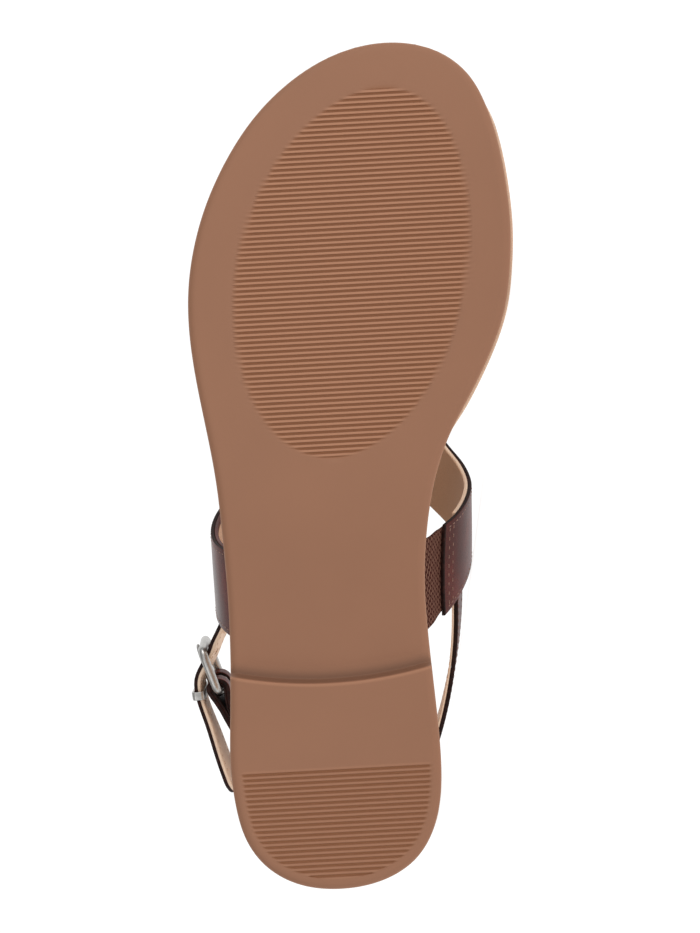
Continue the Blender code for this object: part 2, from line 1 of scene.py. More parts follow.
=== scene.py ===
"""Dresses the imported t-strap sandal: sole, footbed, lined straps, elastic, buckle and stage."""

import json
import math

import bmesh
import bpy
import numpy as np
from bpy.props import FloatProperty, FloatVectorProperty, PointerProperty
from mathutils import Matrix, Vector


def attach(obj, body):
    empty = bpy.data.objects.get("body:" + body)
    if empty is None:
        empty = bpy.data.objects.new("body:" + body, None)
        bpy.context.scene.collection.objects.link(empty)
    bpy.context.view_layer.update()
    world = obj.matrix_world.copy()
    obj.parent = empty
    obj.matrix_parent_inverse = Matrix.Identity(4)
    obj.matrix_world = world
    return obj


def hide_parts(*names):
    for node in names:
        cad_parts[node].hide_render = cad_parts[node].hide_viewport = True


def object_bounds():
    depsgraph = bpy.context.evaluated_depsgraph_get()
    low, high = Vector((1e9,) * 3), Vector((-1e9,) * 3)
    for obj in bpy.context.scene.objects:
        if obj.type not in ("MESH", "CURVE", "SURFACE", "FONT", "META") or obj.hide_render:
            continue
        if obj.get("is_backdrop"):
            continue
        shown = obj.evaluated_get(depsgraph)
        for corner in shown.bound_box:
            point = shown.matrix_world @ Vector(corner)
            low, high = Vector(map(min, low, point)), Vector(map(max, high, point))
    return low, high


bl_info = {
    "name": "T-strap sandal",
    "version": (1, 0, 0),
    "blender": (4, 5, 0),
    "location": "View3D > Sidebar > Sandal",
    "description": "Builds the finished pieces of a t-strap sandal round its packed solids",
    "category": "Object",
}

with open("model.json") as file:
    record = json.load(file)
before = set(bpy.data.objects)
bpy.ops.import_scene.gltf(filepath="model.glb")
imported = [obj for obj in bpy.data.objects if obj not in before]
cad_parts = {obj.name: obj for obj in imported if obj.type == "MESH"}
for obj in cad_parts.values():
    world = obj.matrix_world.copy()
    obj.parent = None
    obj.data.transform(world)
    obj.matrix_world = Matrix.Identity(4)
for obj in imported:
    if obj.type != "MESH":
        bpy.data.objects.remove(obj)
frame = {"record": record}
CAD_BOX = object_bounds()

MM = 0.001
GAP = 0.3

# Plan of the sole in the shoe's own millimetres: distance from the heel, medial edge, lateral edge
OUTLINE = (
    (2.0, -12.4, 12.8),
    (8.0, -22.4, 22.3),
    (16.0, -27.7, 27.6),
    (26.0, -30.4, 30.1),
    (38.0, -31.1, 31.0),
    (54.0, -30.5, 30.2),
    (72.0, -29.5, 29.4),
    (90.0, -29.3, 29.2),
    (106.0, -31.0, 29.7),
    (120.0, -34.2, 30.5),
    (132.0, -39.0, 31.9),
    (144.0, -46.0, 33.7),
    (156.0, -52.5, 35.3),
    (168.0, -57.2, 36.1),
    (180.0, -59.4, 35.5),
    (192.0, -60.3, 33.1),
    (204.0, -59.8, 28.9),
    (216.0, -58.3, 22.7),
    (228.0, -55.3, 14.1),
    (238.0, -50.5, 3.4),
    (244.8, -43.0, -7.9),
)
HEEL_TIP = (0.0, 0.0)
TOE_TIP = (-25.5, 249.0)
RING_STEPS = 1601
# The record puts a mount on the tread this far from the heel
HEEL_TREAD = 47.0

# Heights of the sole
HEEL_TOP = 12.0
BALL_TOP = 6.0
TOP_SLOPE = (70.0, 150.0)
BREAST = 60.9
BREAST_BOW = 3.6
BOW_HALF = 30.0
BOW_BEHIND = 21.0
BOW_AHEAD = 34.0
BREAST_STEP = 4.2
COVE = 3.5
ARCH = 5.0
ARCH_END = 117.0
SPRING_START = 190.0
SPRING = 6.0
TOP_ROUND = 0.9

# Tread panels
OVAL_MIDDLE = (-12.6, 181.2)
OVAL_HALF = (34.2, 54.3)
OVAL_LEAN = 0.154
OVAL_EGG = 0.0012
HEEL_PANEL_FRONT = 35.7
HEEL_RIBS = 22
HEEL_MARGIN = 3.05
HEEL_SHINE = 0.32
OVAL_RIBS = 71
OVAL_START = 127.9
# Half of a rib's top and of its foot, as shares of the pitch
HEEL_RIB = (0.16, 0.36)
OVAL_RIB = (0.19, 0.31)

# Rows across the sole's face from the heel to the toe. Those at the breast are counted from it
FIRST_ROW = 2.95
END_STEP = 0.3
HEEL_ROWS = (37.4, 58.6, 15)
ARCH_ROWS = (67.6, 126.6, 40)
TOE_ROWS = (236.4, 245.8, 9)
BREAST_ROWS = (-1.2, -0.7, -0.35, -0.2, -0.05, 0.1, 0.25, 0.4, 0.6, 0.8, 1.0, 1.25)
COVE_ROWS = (1.6, 2.1, 2.8, 3.6, 4.5, 5.3)
# Lines along its edge: how far in, and the most that it may be as a share of half the row
EDGE_LINES = (0.0, 0.25, 0.5, 0.95, 1.6)
EDGE_SHARES = (0.0, 0.06, 0.12, 0.2, 0.3)
INNER_LINES = 58

# Footbed
FOOTBED = 5.0
FOOTBED_INSET = 1.2
FOOTBED_OVERHANG = 0.8
WAIST_INSET = 3.6
WAIST_START = (58.0, 70.0)
WAIST_END = (106.0, 118.0)
OVERHANG_START = (122.0, 142.0)
OVERHANG_END = (222.0, 242.0)
RIM_SOFT = 1.6
FOOTBED_ROWS = ((3.4, 30.0, 18), (33.0, 215.0, 70), (217.0, 244.7, 18))
FOOTBED_LINES = 31
# The footbed's rim from its top: further out than the top's edge, and down
FOOTBED_RIM = (
    (-0.6, 0.10),
    (-1.1, 0.36),
    (-1.42, 0.85),
    (-1.6, 1.6),
    (-1.6, 2.4),
    (-1.6, 3.4),
    (-1.6, 4.5),
    (-1.2, 4.95),
)

# Last: distance from the heel, ridge, its height, then how far each side swells out and its shoulder
LAST = (
    (70.0, -7.6, 80.0, 20.0, 43.0, 11.0, 43.0),
    (100.0, -11.5, 71.0, 21.5, 42.0, 12.3, 45.0),
    (130.0, -15.3, 61.0, 15.0, 37.0, 10.0, 42.0),
    (160.0, -19.2, 47.0, 6.0, 32.0, 6.0, 38.0),
)
MEDIAL_SWELL = 24.0
LATERAL_SWELL = 20.0
LAST_INSET = 0.6

# Instep band: place round the last from the medial edge to the lateral one, then its back and front edges
BAND = (
    (0.00, 73.7, 100.5),
    (0.055, 78.0, 105.2),
    (0.09, 81.3, 107.6),
    (0.125, 84.9, 110.3),
    (0.16, 88.5, 113.2),
    (0.20, 92.4, 116.2),
    (0.25, 96.7, 119.8),
    (0.30, 101.2, 124.2),
    (0.36, 107.5, 130.8),
    (0.43, 117.5, 145.0),
    (0.50, 128.0, 157.0),
    (0.57, 118.5, 145.0),
    (0.65, 104.5, 129.0),
    (0.725, 94.3, 119.5),
    (0.80, 86.6, 112.8),
    (0.85, 82.8, 108.9),
    (0.90, 79.9, 105.4),
    (1.00, 75.3, 101.2),
)
GORE_SEAM = 0.055
GORE_INSET = 1.3
GORE_TUCK = 0.095
ELASTIC_SLANT = 0.27
END_PAINT = 0.0030
LINING_START = 0.102
# Painted shade on the band's medial lining: its colour is taken down to this share
LINING_PAINTED_SHADE = 0.57
STEM_HALF = 0.053

# Stem and toe post: distance from the heel, middle, height, width
STEM = (
    (162.0, -20.0, 45.9, 18.5),
    (167.0, -21.7, 42.8, 15.5),
    (172.5, -23.5, 38.9, 13.5),
    (178.0, -25.2, 33.8, 12.0),
    (182.6, -26.6, 28.2, 10.5),
    (185.8, -27.4, 22.6, 9.0),
    (187.6, -27.8, 17.0, 8.2),
    (188.2, -27.9, 11.65, 8.0),
)
STEM_CROWN = 0.012

# Where the heel strap and the tab start under the band: distance from the heel, place round the last
HEEL_START = ((102.0, 0.172), (93.0, 0.182))
TAB_START = ((98.0, 0.805), (87.5, 0.795))
UNDER_BAND = 0.95
BAND_DEPTH = 2.4
# Thickness of both straps, of the leather in it, of the gap under that, and what the lining leaves over
STRAP = 2.0
SLING_LEATHER = 1.25
TAB_LEATHER = 1.0
LAYER_GAP = 0.06
LINING_SPARE = 0.02
# Stitches: length, radius on the leather and on the lining, and how deep they are sunk
STITCH = 1.5
STITCH_RADIUS = 0.22
LINING_STITCH_RADIUS = 0.2
STITCH_SUNK = 0.09

# Heel strap from there round the heel: x, y, z, lean of its top edge to the medial side in degrees
HEEL_PATH = (
    (-39.0, 82.0, 40.6, 8.0),
    (-37.9, 70.0, 43.8, 4.0),
    (-35.3, 56.5, 47.4, 0.0),
    (-30.6, 41.0, 52.0, -4.0),
    (-22.9, 25.5, 56.2, -6.0),
    (-11.6, 14.4, 58.6, -7.0),
    (0.0, 10.8, 59.2, -7.0),
    (11.8, 14.4, 58.4, -7.0),
    (21.4, 25.0, 55.6, -5.0),
)
# Then behind the buckle, and its folded end: distance along the buckle and out from it
HEEL_BEHIND = ((-22.0, -1.3), (-14.0, 0.25), (-6.5, 1.2))
FOLD_BEHIND = ((-6.5, -1.15), (-15.0, -2.3))
FOLD_BEND = 3.7
FOLD_PINCH = 0.65
FOLD_ROWS = 6
SLING_PITCH = 1.6
TAB_PITCH = 1.3

# Buckle: the middles of its two bars, and how far their tops lean to the medial side in degrees
BACK_BAR = (34.6, 60.0, 46.4)
FRONT_BAR = (38.6, 72.5, 43.4)
BUCKLE_LEAN = 7.0
BAR_HALF = 7.55
FRAME_CORNER = 2.6
PRONG = 0.8
PRONG_HOOK = 215.0
# From the hook to the tip: share of the buckle's length, drop to the front bar, change of thickness
PRONG_STEPS = (
    (0.48, 0.18, 0.90),
    (0.43, 0.24, 0.85),
    (0.08, 0.10, 0.92),
    (0.045, 0.08, 0.80),
    (0.03, 0.07, 0.55),
)
HOLE_ROUND = 1.25
HOLE_PITCH = 7.0
HOLES = (-2, -1, 1, 2)
HOLE_MIDDLE = (6.6, 2.2)
PUNCH = 8.0
PRONG_PUNCH = 13.0
PRONG_SLACK = 0.4

# Tab: the run up to the buckle, then distance along it and out from it, then the tail
TAB_RUN = ((31.8, 78.4, 40.4, 7.0),)
TAB_THROUGH = ((13.2, -4.2), (10.6, -1.9), (7.4, 1.4), (4.0, 4.6), (0.8, 5.9))
TAB_TAIL = ((38.2, 49.6, 48.2, 8.0), (35.4, 39.6, 50.0, 12.0), (31.7, 27.0, 51.2, 13.0))
TAIL_ROUND = 5.0
KEEPER_PLACE = (0.0, 5.9)
KEEPER_WIDTH = 2.6
KEEPER_SPARE = 0.2
KEEPER_SLACK = 0.4
KEEPER_PITCH = 0.6
KEEPER_EDGE = 0.26
KEEPER_WALL = 0.8
KEEPER_CORNER = 0.9

# Photograph: the height of its frame at the tread in millimetres, and what its middle shows
PHOTO_HEIGHT = 274.7
PHOTO_MIDDLE = (-9.1, 124.2, 0.0)
SENSOR = 36.0


def length_property(name, description, default, least=0.0005):
    return FloatProperty(name=name, description=description, default=default, min=least, unit="LENGTH")


class SoleSizes(bpy.types.PropertyGroup):
    """Sizes of the moulded sole's tread."""

    groove: length_property("Groove depth", "How deep the grooves between the ribs are", 0.0005, 0.0)
    forefoot_pitch: length_property("Forefoot rib pitch", "Between ribs under the ball", 0.001523, 0.001)
    heel_pitch: length_property("Heel rib pitch", "Between ribs under the heel", 0.00154, 0.001)
    edge_round: length_property("Edge rounding", "Radius of the sole's lower edge", 0.0022)


class StrapSizes(bpy.types.PropertyGroup):
    """Sizes of the leather, its lining and its sewing."""

    leather: length_property("Leather", "Thickness of the band's leather", 0.0012)
    lining: length_property("Lining", "Thickness of the band's lining", 0.0011)
    strap_width: length_property("Strap width", "Width of the heel strap and of the tab", 0.011, 0.004)
    elastic_rib: length_property("Elastic rib", "Between ribs of the elastic", 0.00078, 0.0003)
    stitch_pitch: length_property("Stitch pitch", "From one stitch to the next", 0.0022, 0.001)
    stitch_inset: length_property("Stitch inset", "From the cut edge to the stitches", 0.0016)
    wire: length_property("Buckle wire", "Radius of the buckle's wire", 0.0013)


def colour_property(name, description, default):
    return FloatVectorProperty(
        name=name, description=description, default=default, size=3, min=0.0, max=1.0, subtype="COLOR"
    )


class Colours(bpy.types.PropertyGroup):
    """Colours of the finishes."""

    gum: colour_property("Gum rubber", "Plain surface of the sole", (0.303, 0.145, 0.084))
    # Rib tops are partly a painted highlight, also used along the breast's edge; grooves are partly painted
    # shade
    gum_ridge: colour_property("Rib tops", "Tops of the tread's ribs", (0.415, 0.202, 0.117))
    gum_groove: colour_property("Grooves", "Floor between the ribs", (0.300, 0.130, 0.062))
    # Sole walls are partly a painted highlight on the sole's sides
    gum_wall: colour_property("Sole walls", "Walls of the sole", (0.460, 0.220, 0.115))
    leather: colour_property("Leather", "Polished outside of the straps", (0.092, 0.021, 0.016))
    edge_paint: colour_property("Edge paint", "Painted cut edges of the leather", (0.017, 0.009, 0.008))
    lining: colour_property("Lining", "Inside of the straps", (0.690, 0.450, 0.300))
    # A lighter copy of the lining: partly the cut edges' own paler tone, partly painted highlight, and
    # painted light on the shaded inside of the tab
    pale_lining: colour_property("Pale lining", "Edges of the lining", (0.860, 0.660, 0.500))
    elastic: colour_property("Elastic", "Ground of the elastic", (0.050, 0.014, 0.010))
    elastic_fleck: colour_property("Elastic fleck", "Lighter threads in it", (0.400, 0.215, 0.150))
    thread: colour_property("Thread", "Sewing on the leather", (0.240, 0.125, 0.085))
    lining_thread: colour_property("Lining thread", "Sewing on the lining", (0.600, 0.385, 0.250))
    metal: colour_property("Metal", "Satin silver of the buckle", (0.470, 0.460, 0.444))
    footbed: colour_property("Footbed", "Cover that the foot rests on", (0.720, 0.490, 0.340))
    floor: colour_property("Floor", "Floor and backdrop", (0.300, 0.300, 0.300))


class StageSizes(bpy.types.PropertyGroup):
    """Where the camera stands."""

    distance: length_property("Camera distance", "From the camera to the tread", 1.3, 0.4)
    height: length_property("Camera height", "Of the camera above the floor", 0.010, 0.0)
    lean: FloatProperty(
        name="Lean",
        description="How far the heel's axis leans to the left in the picture",
        default=math.radians(3.2),
        subtype="ANGLE",
    )


class Signal:
    """An output of a shader node. Arithmetic on it adds Math nodes."""

    def __init__(self, tree, socket=None):
        self.tree = tree
        self.socket = socket

    def node(self, kind, settings=None, sockets=None, output=0):
        """Adds a node: its settings first, then a value or a link for each socket."""
        made = self.tree.nodes.new(kind)
        for name, value in (settings or {}).items():
            setattr(made, name, value)
        for name, value in (sockets or {}).items():
            if isinstance(value, Signal):
                self.tree.links.new(value.socket, made.inputs[name])
            else:
                made.inputs[name].default_value = value
        return Signal(self.tree, made.outputs[output])

    def math(self, operation, *values):
        return self.node("ShaderNodeMath", {"operation": operation}, dict(enumerate(values)))

    def __add__(self, other):
        return self.math("ADD", self, other)

    def __radd__(self, other):
        return self.math("ADD", other, self)

    def __sub__(self, other):
        return self.math("SUBTRACT", self, other)

    def __rsub__(self, other):
        return self.math("SUBTRACT", other, self)

    def __mul__(self, other):
        return self.math("MULTIPLY", self, other)

    def __rmul__(self, other):
        return self.math("MULTIPLY", other, self)

    def __truediv__(self, other):
        return self.math("DIVIDE", self, other)

    def __rtruediv__(self, other):
        return self.math("DIVIDE", other, self)

    def fraction(self):
        return self.math("FRACT", self)

    def size(self):
        return self.math("ABSOLUTE", self)

    def smooth(self, start, end):
        """0 up to start, 1 past end, and an even curve between them."""
        return self.node(
            "ShaderNodeMapRange",
            {"interpolation_type": "SMOOTHSTEP"},
            {"Value": self, "From Min": start, "From Max": end},
        )

    def blend(self, first, second):
        """A colour between two, by this value."""
        sides = [(*side, 1.0) if isinstance(side, tuple) else side for side in (first, second)]
        return self.node(
            "ShaderNodeMix", {"data_type": "RGBA"}, {0: self, 6: sides[0], 7: sides[1]}, 2
        )

    def attribute(self, name):
        """A value marked on the mesh."""
        return self.node("ShaderNodeAttribute", {"attribute_name": name}, output="Fac")

    def bump(self, strength, distance):
        """A normal from this height."""
        return self.node(
            "ShaderNodeBump", {}, {"Strength": strength, "Distance": distance, "Height": self}
        )

    def feeds(self, socket):
        self.tree.links.new(self.socket, socket)


def new_material(name, levels):
    """A material with these levels: a signal to build its nodes from, its sockets and its coordinates."""
    made = bpy.data.materials.new(name)
    made.use_nodes = True
    paint = Signal(made.node_tree)
    shader = made.node_tree.nodes["Principled BSDF"].inputs
    for socket, level in levels.items():
        shader[socket].default_value = level
    return paint, shader, paint.node("ShaderNodeTexCoord", output="Object")


def leather_grain(paint, place, scale):
    """0 in the creases between the grains of leather."""
    return paint.node(
        "ShaderNodeTexVoronoi", {"feature": "DISTANCE_TO_EDGE"}, {"Vector": place, "Scale": scale}
    )


def shade(colour, factor):
    return tuple(min(1.0, part * factor) for part in colour)


def noise(paint, place, scale, detail=2.0, rough=0.5):
    return paint.node(
        "ShaderNodeTexNoise",
        {},
        {"Vector": place, "Scale": scale, "Detail": detail, "Roughness": rough},
    )


def stretched(paint, place, scale):
    return paint.node("ShaderNodeMapping", {}, {"Vector": place, "Scale": scale})


def gum_rubber(colours, name):
    """Moulded gum rubber: cloudy, with paler rib tops and warmer walls (partly painted highlight), darker
    grooves (partly painted shade), painted shade in the breast's cove and a fine mould texture.
    """
    paint, shader, place = new_material(name, {"Specular IOR Level": 0.25})
    cloud = noise(paint, place, 38.0, 3.0)
    speck = noise(paint, place, 2600.0, 2.0, 0.6)
    groove = paint.attribute("groove")
    ridge = paint.attribute("ridge")
    wall = paint.attribute("wall")
    cove = paint.attribute("cove")
    gum = tuple(colours.gum)
    colour = (cloud * 0.7 + speck * 0.3).blend(shade(gum, 0.93), shade(gum, 1.07))
    # Lighter, warmer walls: partly the sidewall's own tone and partly a painted highlight
    colour = (wall * 0.55).blend(colour, tuple(colours.gum_wall))
    # Darker grooves are partly painted shade in the recesses; paler rib tops are partly a painted
    # highlight, and their mark also carries the painted highlight on the breast's edge
    colour = groove.blend(colour, tuple(colours.gum_groove))
    colour = ridge.blend(colour, tuple(colours.gum_ridge))
    # Painted shade in the cove in front of the breast
    colour = (cove * 0.55).blend(colour, shade(gum, 0.35))
    colour.feeds(shader["Base Color"])
    (0.50 + cloud * 0.10 + speck * 0.12).feeds(shader["Roughness"])
    (speck * 0.6 + noise(paint, place, 700.0, 2.0) * 0.4).bump(0.10, 0.0002).feeds(shader["Normal"])


def polished_leather(colours, name):
    """Polished calf: a dark ground with redder clouds, fine grain and a soft gloss."""
    paint, shader, place = new_material(name, {"Specular IOR Level": 0.08, "Coat Roughness": 0.18})
    cloud = noise(paint, place, 70.0, 3.0)
    streak = noise(paint, stretched(paint, place, (60.0, 240.0, 60.0)), 1.0, 3.0)
    grain = leather_grain(paint, place, 1500.0)
    pore = noise(paint, place, 3200.0, 2.0)
    leather = tuple(colours.leather)
    red = (leather[0] * 1.5, leather[1] * 1.15, leather[2] * 1.05)
    colour = (cloud * 0.6 + streak * 0.4).smooth(0.35, 0.68).blend(shade(leather, 0.72), red)
    colour = grain.smooth(0.0, 0.09).blend(shade(leather, 0.55), colour)
    colour.feeds(shader["Base Color"])
    (0.26 + cloud * 0.10 + pore * 0.08).feeds(shader["Roughness"])
    (grain.smooth(0.0, 0.16) * 0.75 + pore * 0.25).bump(0.16, 0.00012).feeds(shader["Normal"])
    polish = paint.attribute("polish")
    (0.02 + polish * 0.22).feeds(shader["Coat Weight"])


def painted_edge(colours, name):
    """Edge paint: nearly black, slightly uneven where it was wiped on."""
    paint, shader, place = new_material(name, {"Specular IOR Level": 0.10})
    wipe = noise(paint, place, 900.0, 3.0)
    edge_paint = tuple(colours.edge_paint)
    worn = (edge_paint[0] * 2.6, edge_paint[1] * 1.9, edge_paint[2] * 1.7)
    wipe.smooth(0.42, 0.78).blend(edge_paint, worn).feeds(shader["Base Color"])
    (0.46 + wipe * 0.18).feeds(shader["Roughness"])
    wipe.bump(0.20, 0.00015).feeds(shader["Normal"])


def lining_leather(colours, name, source, crease):
    """Beige lining: matt, with pores and a faint warm cloud, painted shade on the band's medial half, and a
    paler front edge, partly painted highlight.
    """
    paint, shader, place = new_material(name, {"Specular IOR Level": 0.3})
    cloud = noise(paint, place, 55.0, 3.0)
    grain = leather_grain(paint, place, 1150.0)
    pore = noise(paint, place, 2400.0, 2.0)
    colour = tuple(getattr(colours, source))
    tint = cloud.smooth(0.3, 0.7).blend(shade(colour, 0.92), shade(colour, 1.06))
    tint = grain.smooth(0.0, 0.10).blend(shade(colour, crease), tint)
    # Painted shade on the medial half of the band's lining, inside the shoe
    worn = paint.attribute("worn")
    tint = (worn * 0.85).blend(tint, shade(colour, LINING_PAINTED_SHADE))
    # Paler front edge of the band's lining: partly the cut edge's own tone, partly a painted highlight
    rim = paint.attribute("rim")
    rim.smooth(0.3, 0.9).blend(tint, tuple(colours.pale_lining)).feeds(shader["Base Color"])
    (0.55 + pore * 0.16).feeds(shader["Roughness"])
    (grain.smooth(0.0, 0.2) * 0.7 + pore * 0.3).bump(0.18, 0.00012).feeds(shader["Normal"])


def ribbed_elastic(colours, name):
    """Elastic: brown ribs with short paler threads along them. Its map is in millimetres and ribs."""
    paint, shader, place = new_material(name, {"Roughness": 0.8, "Specular IOR Level": 0.06})
    lie = paint.node("ShaderNodeUVMap", {"uv_map": "UVMap"})
    along = paint.node("ShaderNodeSeparateXYZ", {}, {"Vector": lie}, "X")
    across = Signal(paint.tree, along.socket.node.outputs["Y"])
    fibre = noise(paint, place, 2600.0, 3.0)
    ribs = across.fraction()
    crown = 1.0 - 2.0 * (ribs - 0.5).size()
    thread = (along * 0.42 + (across - ribs) * 0.37).fraction()
    fleck = (1.0 - 2.0 * (thread - 0.5).size()).smooth(0.10, 0.45)
    fleck = fleck * crown.smooth(0.55, 0.90)
    elastic = tuple(colours.elastic)
    ground = crown.smooth(0.05, 0.7).blend(shade(elastic, 0.55), elastic)
    ground = (fibre * 0.8).blend(ground, shade(elastic, 1.5))
    (fleck * 0.85).blend(ground, tuple(colours.elastic_fleck)).feeds(shader["Base Color"])
    (crown * 0.6 + fleck * 0.2 + fibre * 0.2).bump(0.5, 0.0002).feeds(shader["Normal"])


def satin_metal(colours, name):
    """Satin silver: brushed fine, with slightly duller patches."""
    paint, shader, place = new_material(name, {"Metallic": 1.0})
    brush = noise(paint, stretched(paint, place, (700.0, 5200.0, 1400.0)), 1.0, 2.0)
    patch = noise(paint, place, 260.0, 3.0)
    metal = tuple(colours.metal)
    patch.smooth(0.35, 0.75).blend(shade(metal, 1.05), shade(metal, 0.86)).feeds(shader["Base Color"])
    (0.24 + brush * 0.10 + patch * 0.08).feeds(shader["Roughness"])
    brush.bump(0.06, 0.00008).feeds(shader["Normal"])


def twisted_thread(colours, name, source):
    """Sewing thread: two plies that show as slanting bands."""
    paint, shader, place = new_material(name, {"Roughness": 0.62})
    ply = paint.node(
        "ShaderNodeTexWave",
        {"bands_direction": "DIAGONAL"},
        {"Vector": place, "Scale": 620.0, "Distortion": 1.5, "Detail": 1.0},
        "Fac",
    )
    colour = tuple(getattr(colours, source))
    ply.blend(shade(colour, 0.7), shade(colour, 1.25)).feeds(shader["Base Color"])
    ply.bump(0.3, 0.0001).feeds(shader["Normal"])


def studio_paper(colours, name):
    """The pale floor and backdrop: paper with a faint tooth."""
    levels = {
        "Roughness": 0.9,
        "Specular IOR Level": 0.1,
        "Emission Color": (1.0, 1.0, 1.0, 1.0),
        "Emission Strength": 0.85,
    }
    paint, shader, place = new_material(name, levels)
    tooth = noise(paint, place, 420.0, 3.0)
    floor = tuple(colours.floor)
    tooth.blend(shade(floor, 0.99), shade(floor, 1.01)).feeds(shader["Base Color"])


FINISHES = {
    "gum_rubber": (gum_rubber,),
    "polished_leather": (polished_leather,),
    "painted_edge": (painted_edge,),
    "lining_leather": (lining_leather, "lining", 0.80),
    "pale_lining": (lining_leather, "pale_lining", 0.96),
    "footbed_cover": (lining_leather, "footbed", 0.80),
    "ribbed_elastic": (ribbed_elastic,),
    "satin_metal": (satin_metal,),
    "leather_thread": (twisted_thread, "thread"),
    "lining_thread": (twisted_thread, "lining_thread"),
    "studio_paper": (studio_paper,),
}


def finish(name):
    """A finish by name, made when the first piece asks for it."""
    if name not in bpy.data.materials:
        make, *settings = FINISHES[name]
        make(bpy.context.scene.sandal_colours, name, *settings)
    return bpy.data.materials[name]


# Shape of the sole


def ease(value, start, end):
    t = np.clip((np.asarray(value, float) - start) / (end - start), 0.0, 1.0)
    return t * t * (3.0 - 2.0 * t)


def distances(points):
    """How far along a line of points each of them is."""
    return np.concatenate([[0.0], np.cumsum(np.linalg.norm(np.diff(points, axis=0), axis=1))])


def spline(points, closed=False, columns=None):
    """A cubic curve through the points. The first columns set its pace."""
    points = np.array(points, float)
    if closed:
        points = np.vstack([points, points[:1]])
    chord = np.linalg.norm(np.diff(points[:, :columns], axis=0), axis=1)
    slope = np.diff(points, axis=0) / chord[:, None]
    last = len(points) - 1
    system = np.zeros((last + 1, last + 1))
    right = np.zeros_like(points)
    for i in range(1, last):
        system[i, i - 1 : i + 2] = chord[i], 2.0 * (chord[i - 1] + chord[i]), chord[i - 1]
        right[i] = 3.0 * (chord[i] * slope[i - 1] + chord[i - 1] * slope[i])
    if closed:
        system[0, [last - 1, 0, 1]] = chord[0], 2.0 * (chord[-1] + chord[0]), chord[-1]
        right[0] = 3.0 * (chord[0] * slope[-1] + chord[-1] * slope[0])
        system[last, [0, last]] = 1.0, -1.0
    else:
        system[0, :2] = 2.0, 1.0
        right[0] = 3.0 * slope[0]
        system[last, last - 1 :] = 1.0, 2.0
        right[last] = 3.0 * slope[-1]
    tangent = np.linalg.solve(system, right)
    reach = distances(points[:, :columns])

    def at(distance):
        distance = np.clip(distance, 0.0, reach[-1])
        i = min(int(np.searchsorted(reach, distance, side="right")) - 1, last - 1)
        t = (distance - reach[i]) / chord[i]
        near = (1.0 + 2.0 * t) * (1.0 - t) ** 2 * points[i] + t * (1.0 - t) ** 2 * chord[i] * tangent[i]
        far = t * t * (3.0 - 2.0 * t) * points[i + 1] - t * t * (1.0 - t) * chord[i] * tangent[i + 1]
        return near + far

    return at, reach


def plan_ring():
    """The plan of the sole as a ring from the heel by the lateral side: points and inward normals."""
    lateral = [(row[2], row[0]) for row in OUTLINE]
    medial = [(row[1], row[0]) for row in reversed(OUTLINE)]
    at, reach = spline([HEEL_TIP] + lateral + [TOE_TIP] + medial, closed=True)
    ring = np.array([at(step) for step in np.linspace(0.0, reach[-1], RING_STEPS)])
    along = np.gradient(ring, axis=0)
    along[0] = along[-1] = ring[1] - ring[-2]
    along /= np.linalg.norm(along, axis=1)[:, None]
    return ring, np.stack([-along[:, 1], along[:, 0]], axis=1)


RING, INWARD = plan_ring()
RING_END = len(RING) - 1
RING_TOE = int(RING[:, 1].argmax())


def on_ring(index):
    """(points, inward normals) of the plan at these places on its ring."""
    index = np.mod(np.asarray(index, float), RING_END)
    steps = np.arange(RING_END + 1)
    point = np.stack([np.interp(index, steps, RING[:, i]) for i in (0, 1)], axis=-1)
    inward = np.stack([np.interp(index, steps, INWARD[:, i]) for i in (0, 1)], axis=-1)
    return point, inward


def ring_side(side):
    if side == "lateral":
        return np.arange(RING_TOE + 1)
    return np.arange(RING_END, RING_TOE - 1, -1)


def edge(side, y):
    """How far across the plan's edge is at this distance from the heel."""
    steps = ring_side(side)
    return np.interp(y, RING[steps, 1], RING[steps, 0])


def rail(side, inset, y):
    """Where on the ring the plan, set in by inset, is at this distance from the heel, and its x there."""
    steps = ring_side(side)
    moved = RING[steps] + INWARD[steps] * np.asarray(inset(RING[steps, 1], side))[..., None]
    return np.interp(y, moved[:, 1], steps), np.interp(y, moved[:, 1], moved[:, 0])


def bow(station):
    """How far a row across the sole bows at the breast. It fades before the heel panel."""
    fade = np.where(np.asarray(station) < BREAST, BOW_BEHIND, BOW_AHEAD)
    near = np.clip(np.abs(station - BREAST) / fade, 0.0, 1.0)
    return BREAST_BOW * 0.5 * (1.0 + np.cos(math.pi * near))


def spring(y):
    return SPRING * np.maximum(0.0, (np.asarray(y) - SPRING_START) / (TOE_TIP[1] - SPRING_START)) ** 2


def sole_top(y):
    return HEEL_TOP + (BALL_TOP - HEEL_TOP) * ease(y, *TOP_SLOPE) + spring(y)


def sole_bottom(station):
    step = BREAST_STEP * ease(station, BREAST - 0.35, BREAST + 1.25)
    cove = (ARCH - BREAST_STEP) * ease(station, BREAST + 0.9, BREAST + 1.0 + COVE)
    arch = 1.0 - ease(station, BREAST + 8.0, ARCH_END)
    return (step + cove) * arch + spring(station)


def footbed_inset(y, side):
    waist = ease(y, *WAIST_START) * (1.0 - ease(y, *WAIST_END))
    inset = FOOTBED_INSET + (WAIST_INSET - FOOTBED_INSET) * waist
    if side == "medial":
        over = ease(y, *OVERHANG_START) * (1.0 - ease(y, *OVERHANG_END))
        inset = inset - (FOOTBED_INSET + FOOTBED_OVERHANG) * over
    return inset


# Shape of the straps

LAST_AT, _ = spline(LAST, columns=1)
BAND_AT, _ = spline([(100.0 * row[0], row[1], row[2]) for row in BAND], columns=1)
STEM_AT, STEM_REACH = spline(STEM, columns=3)


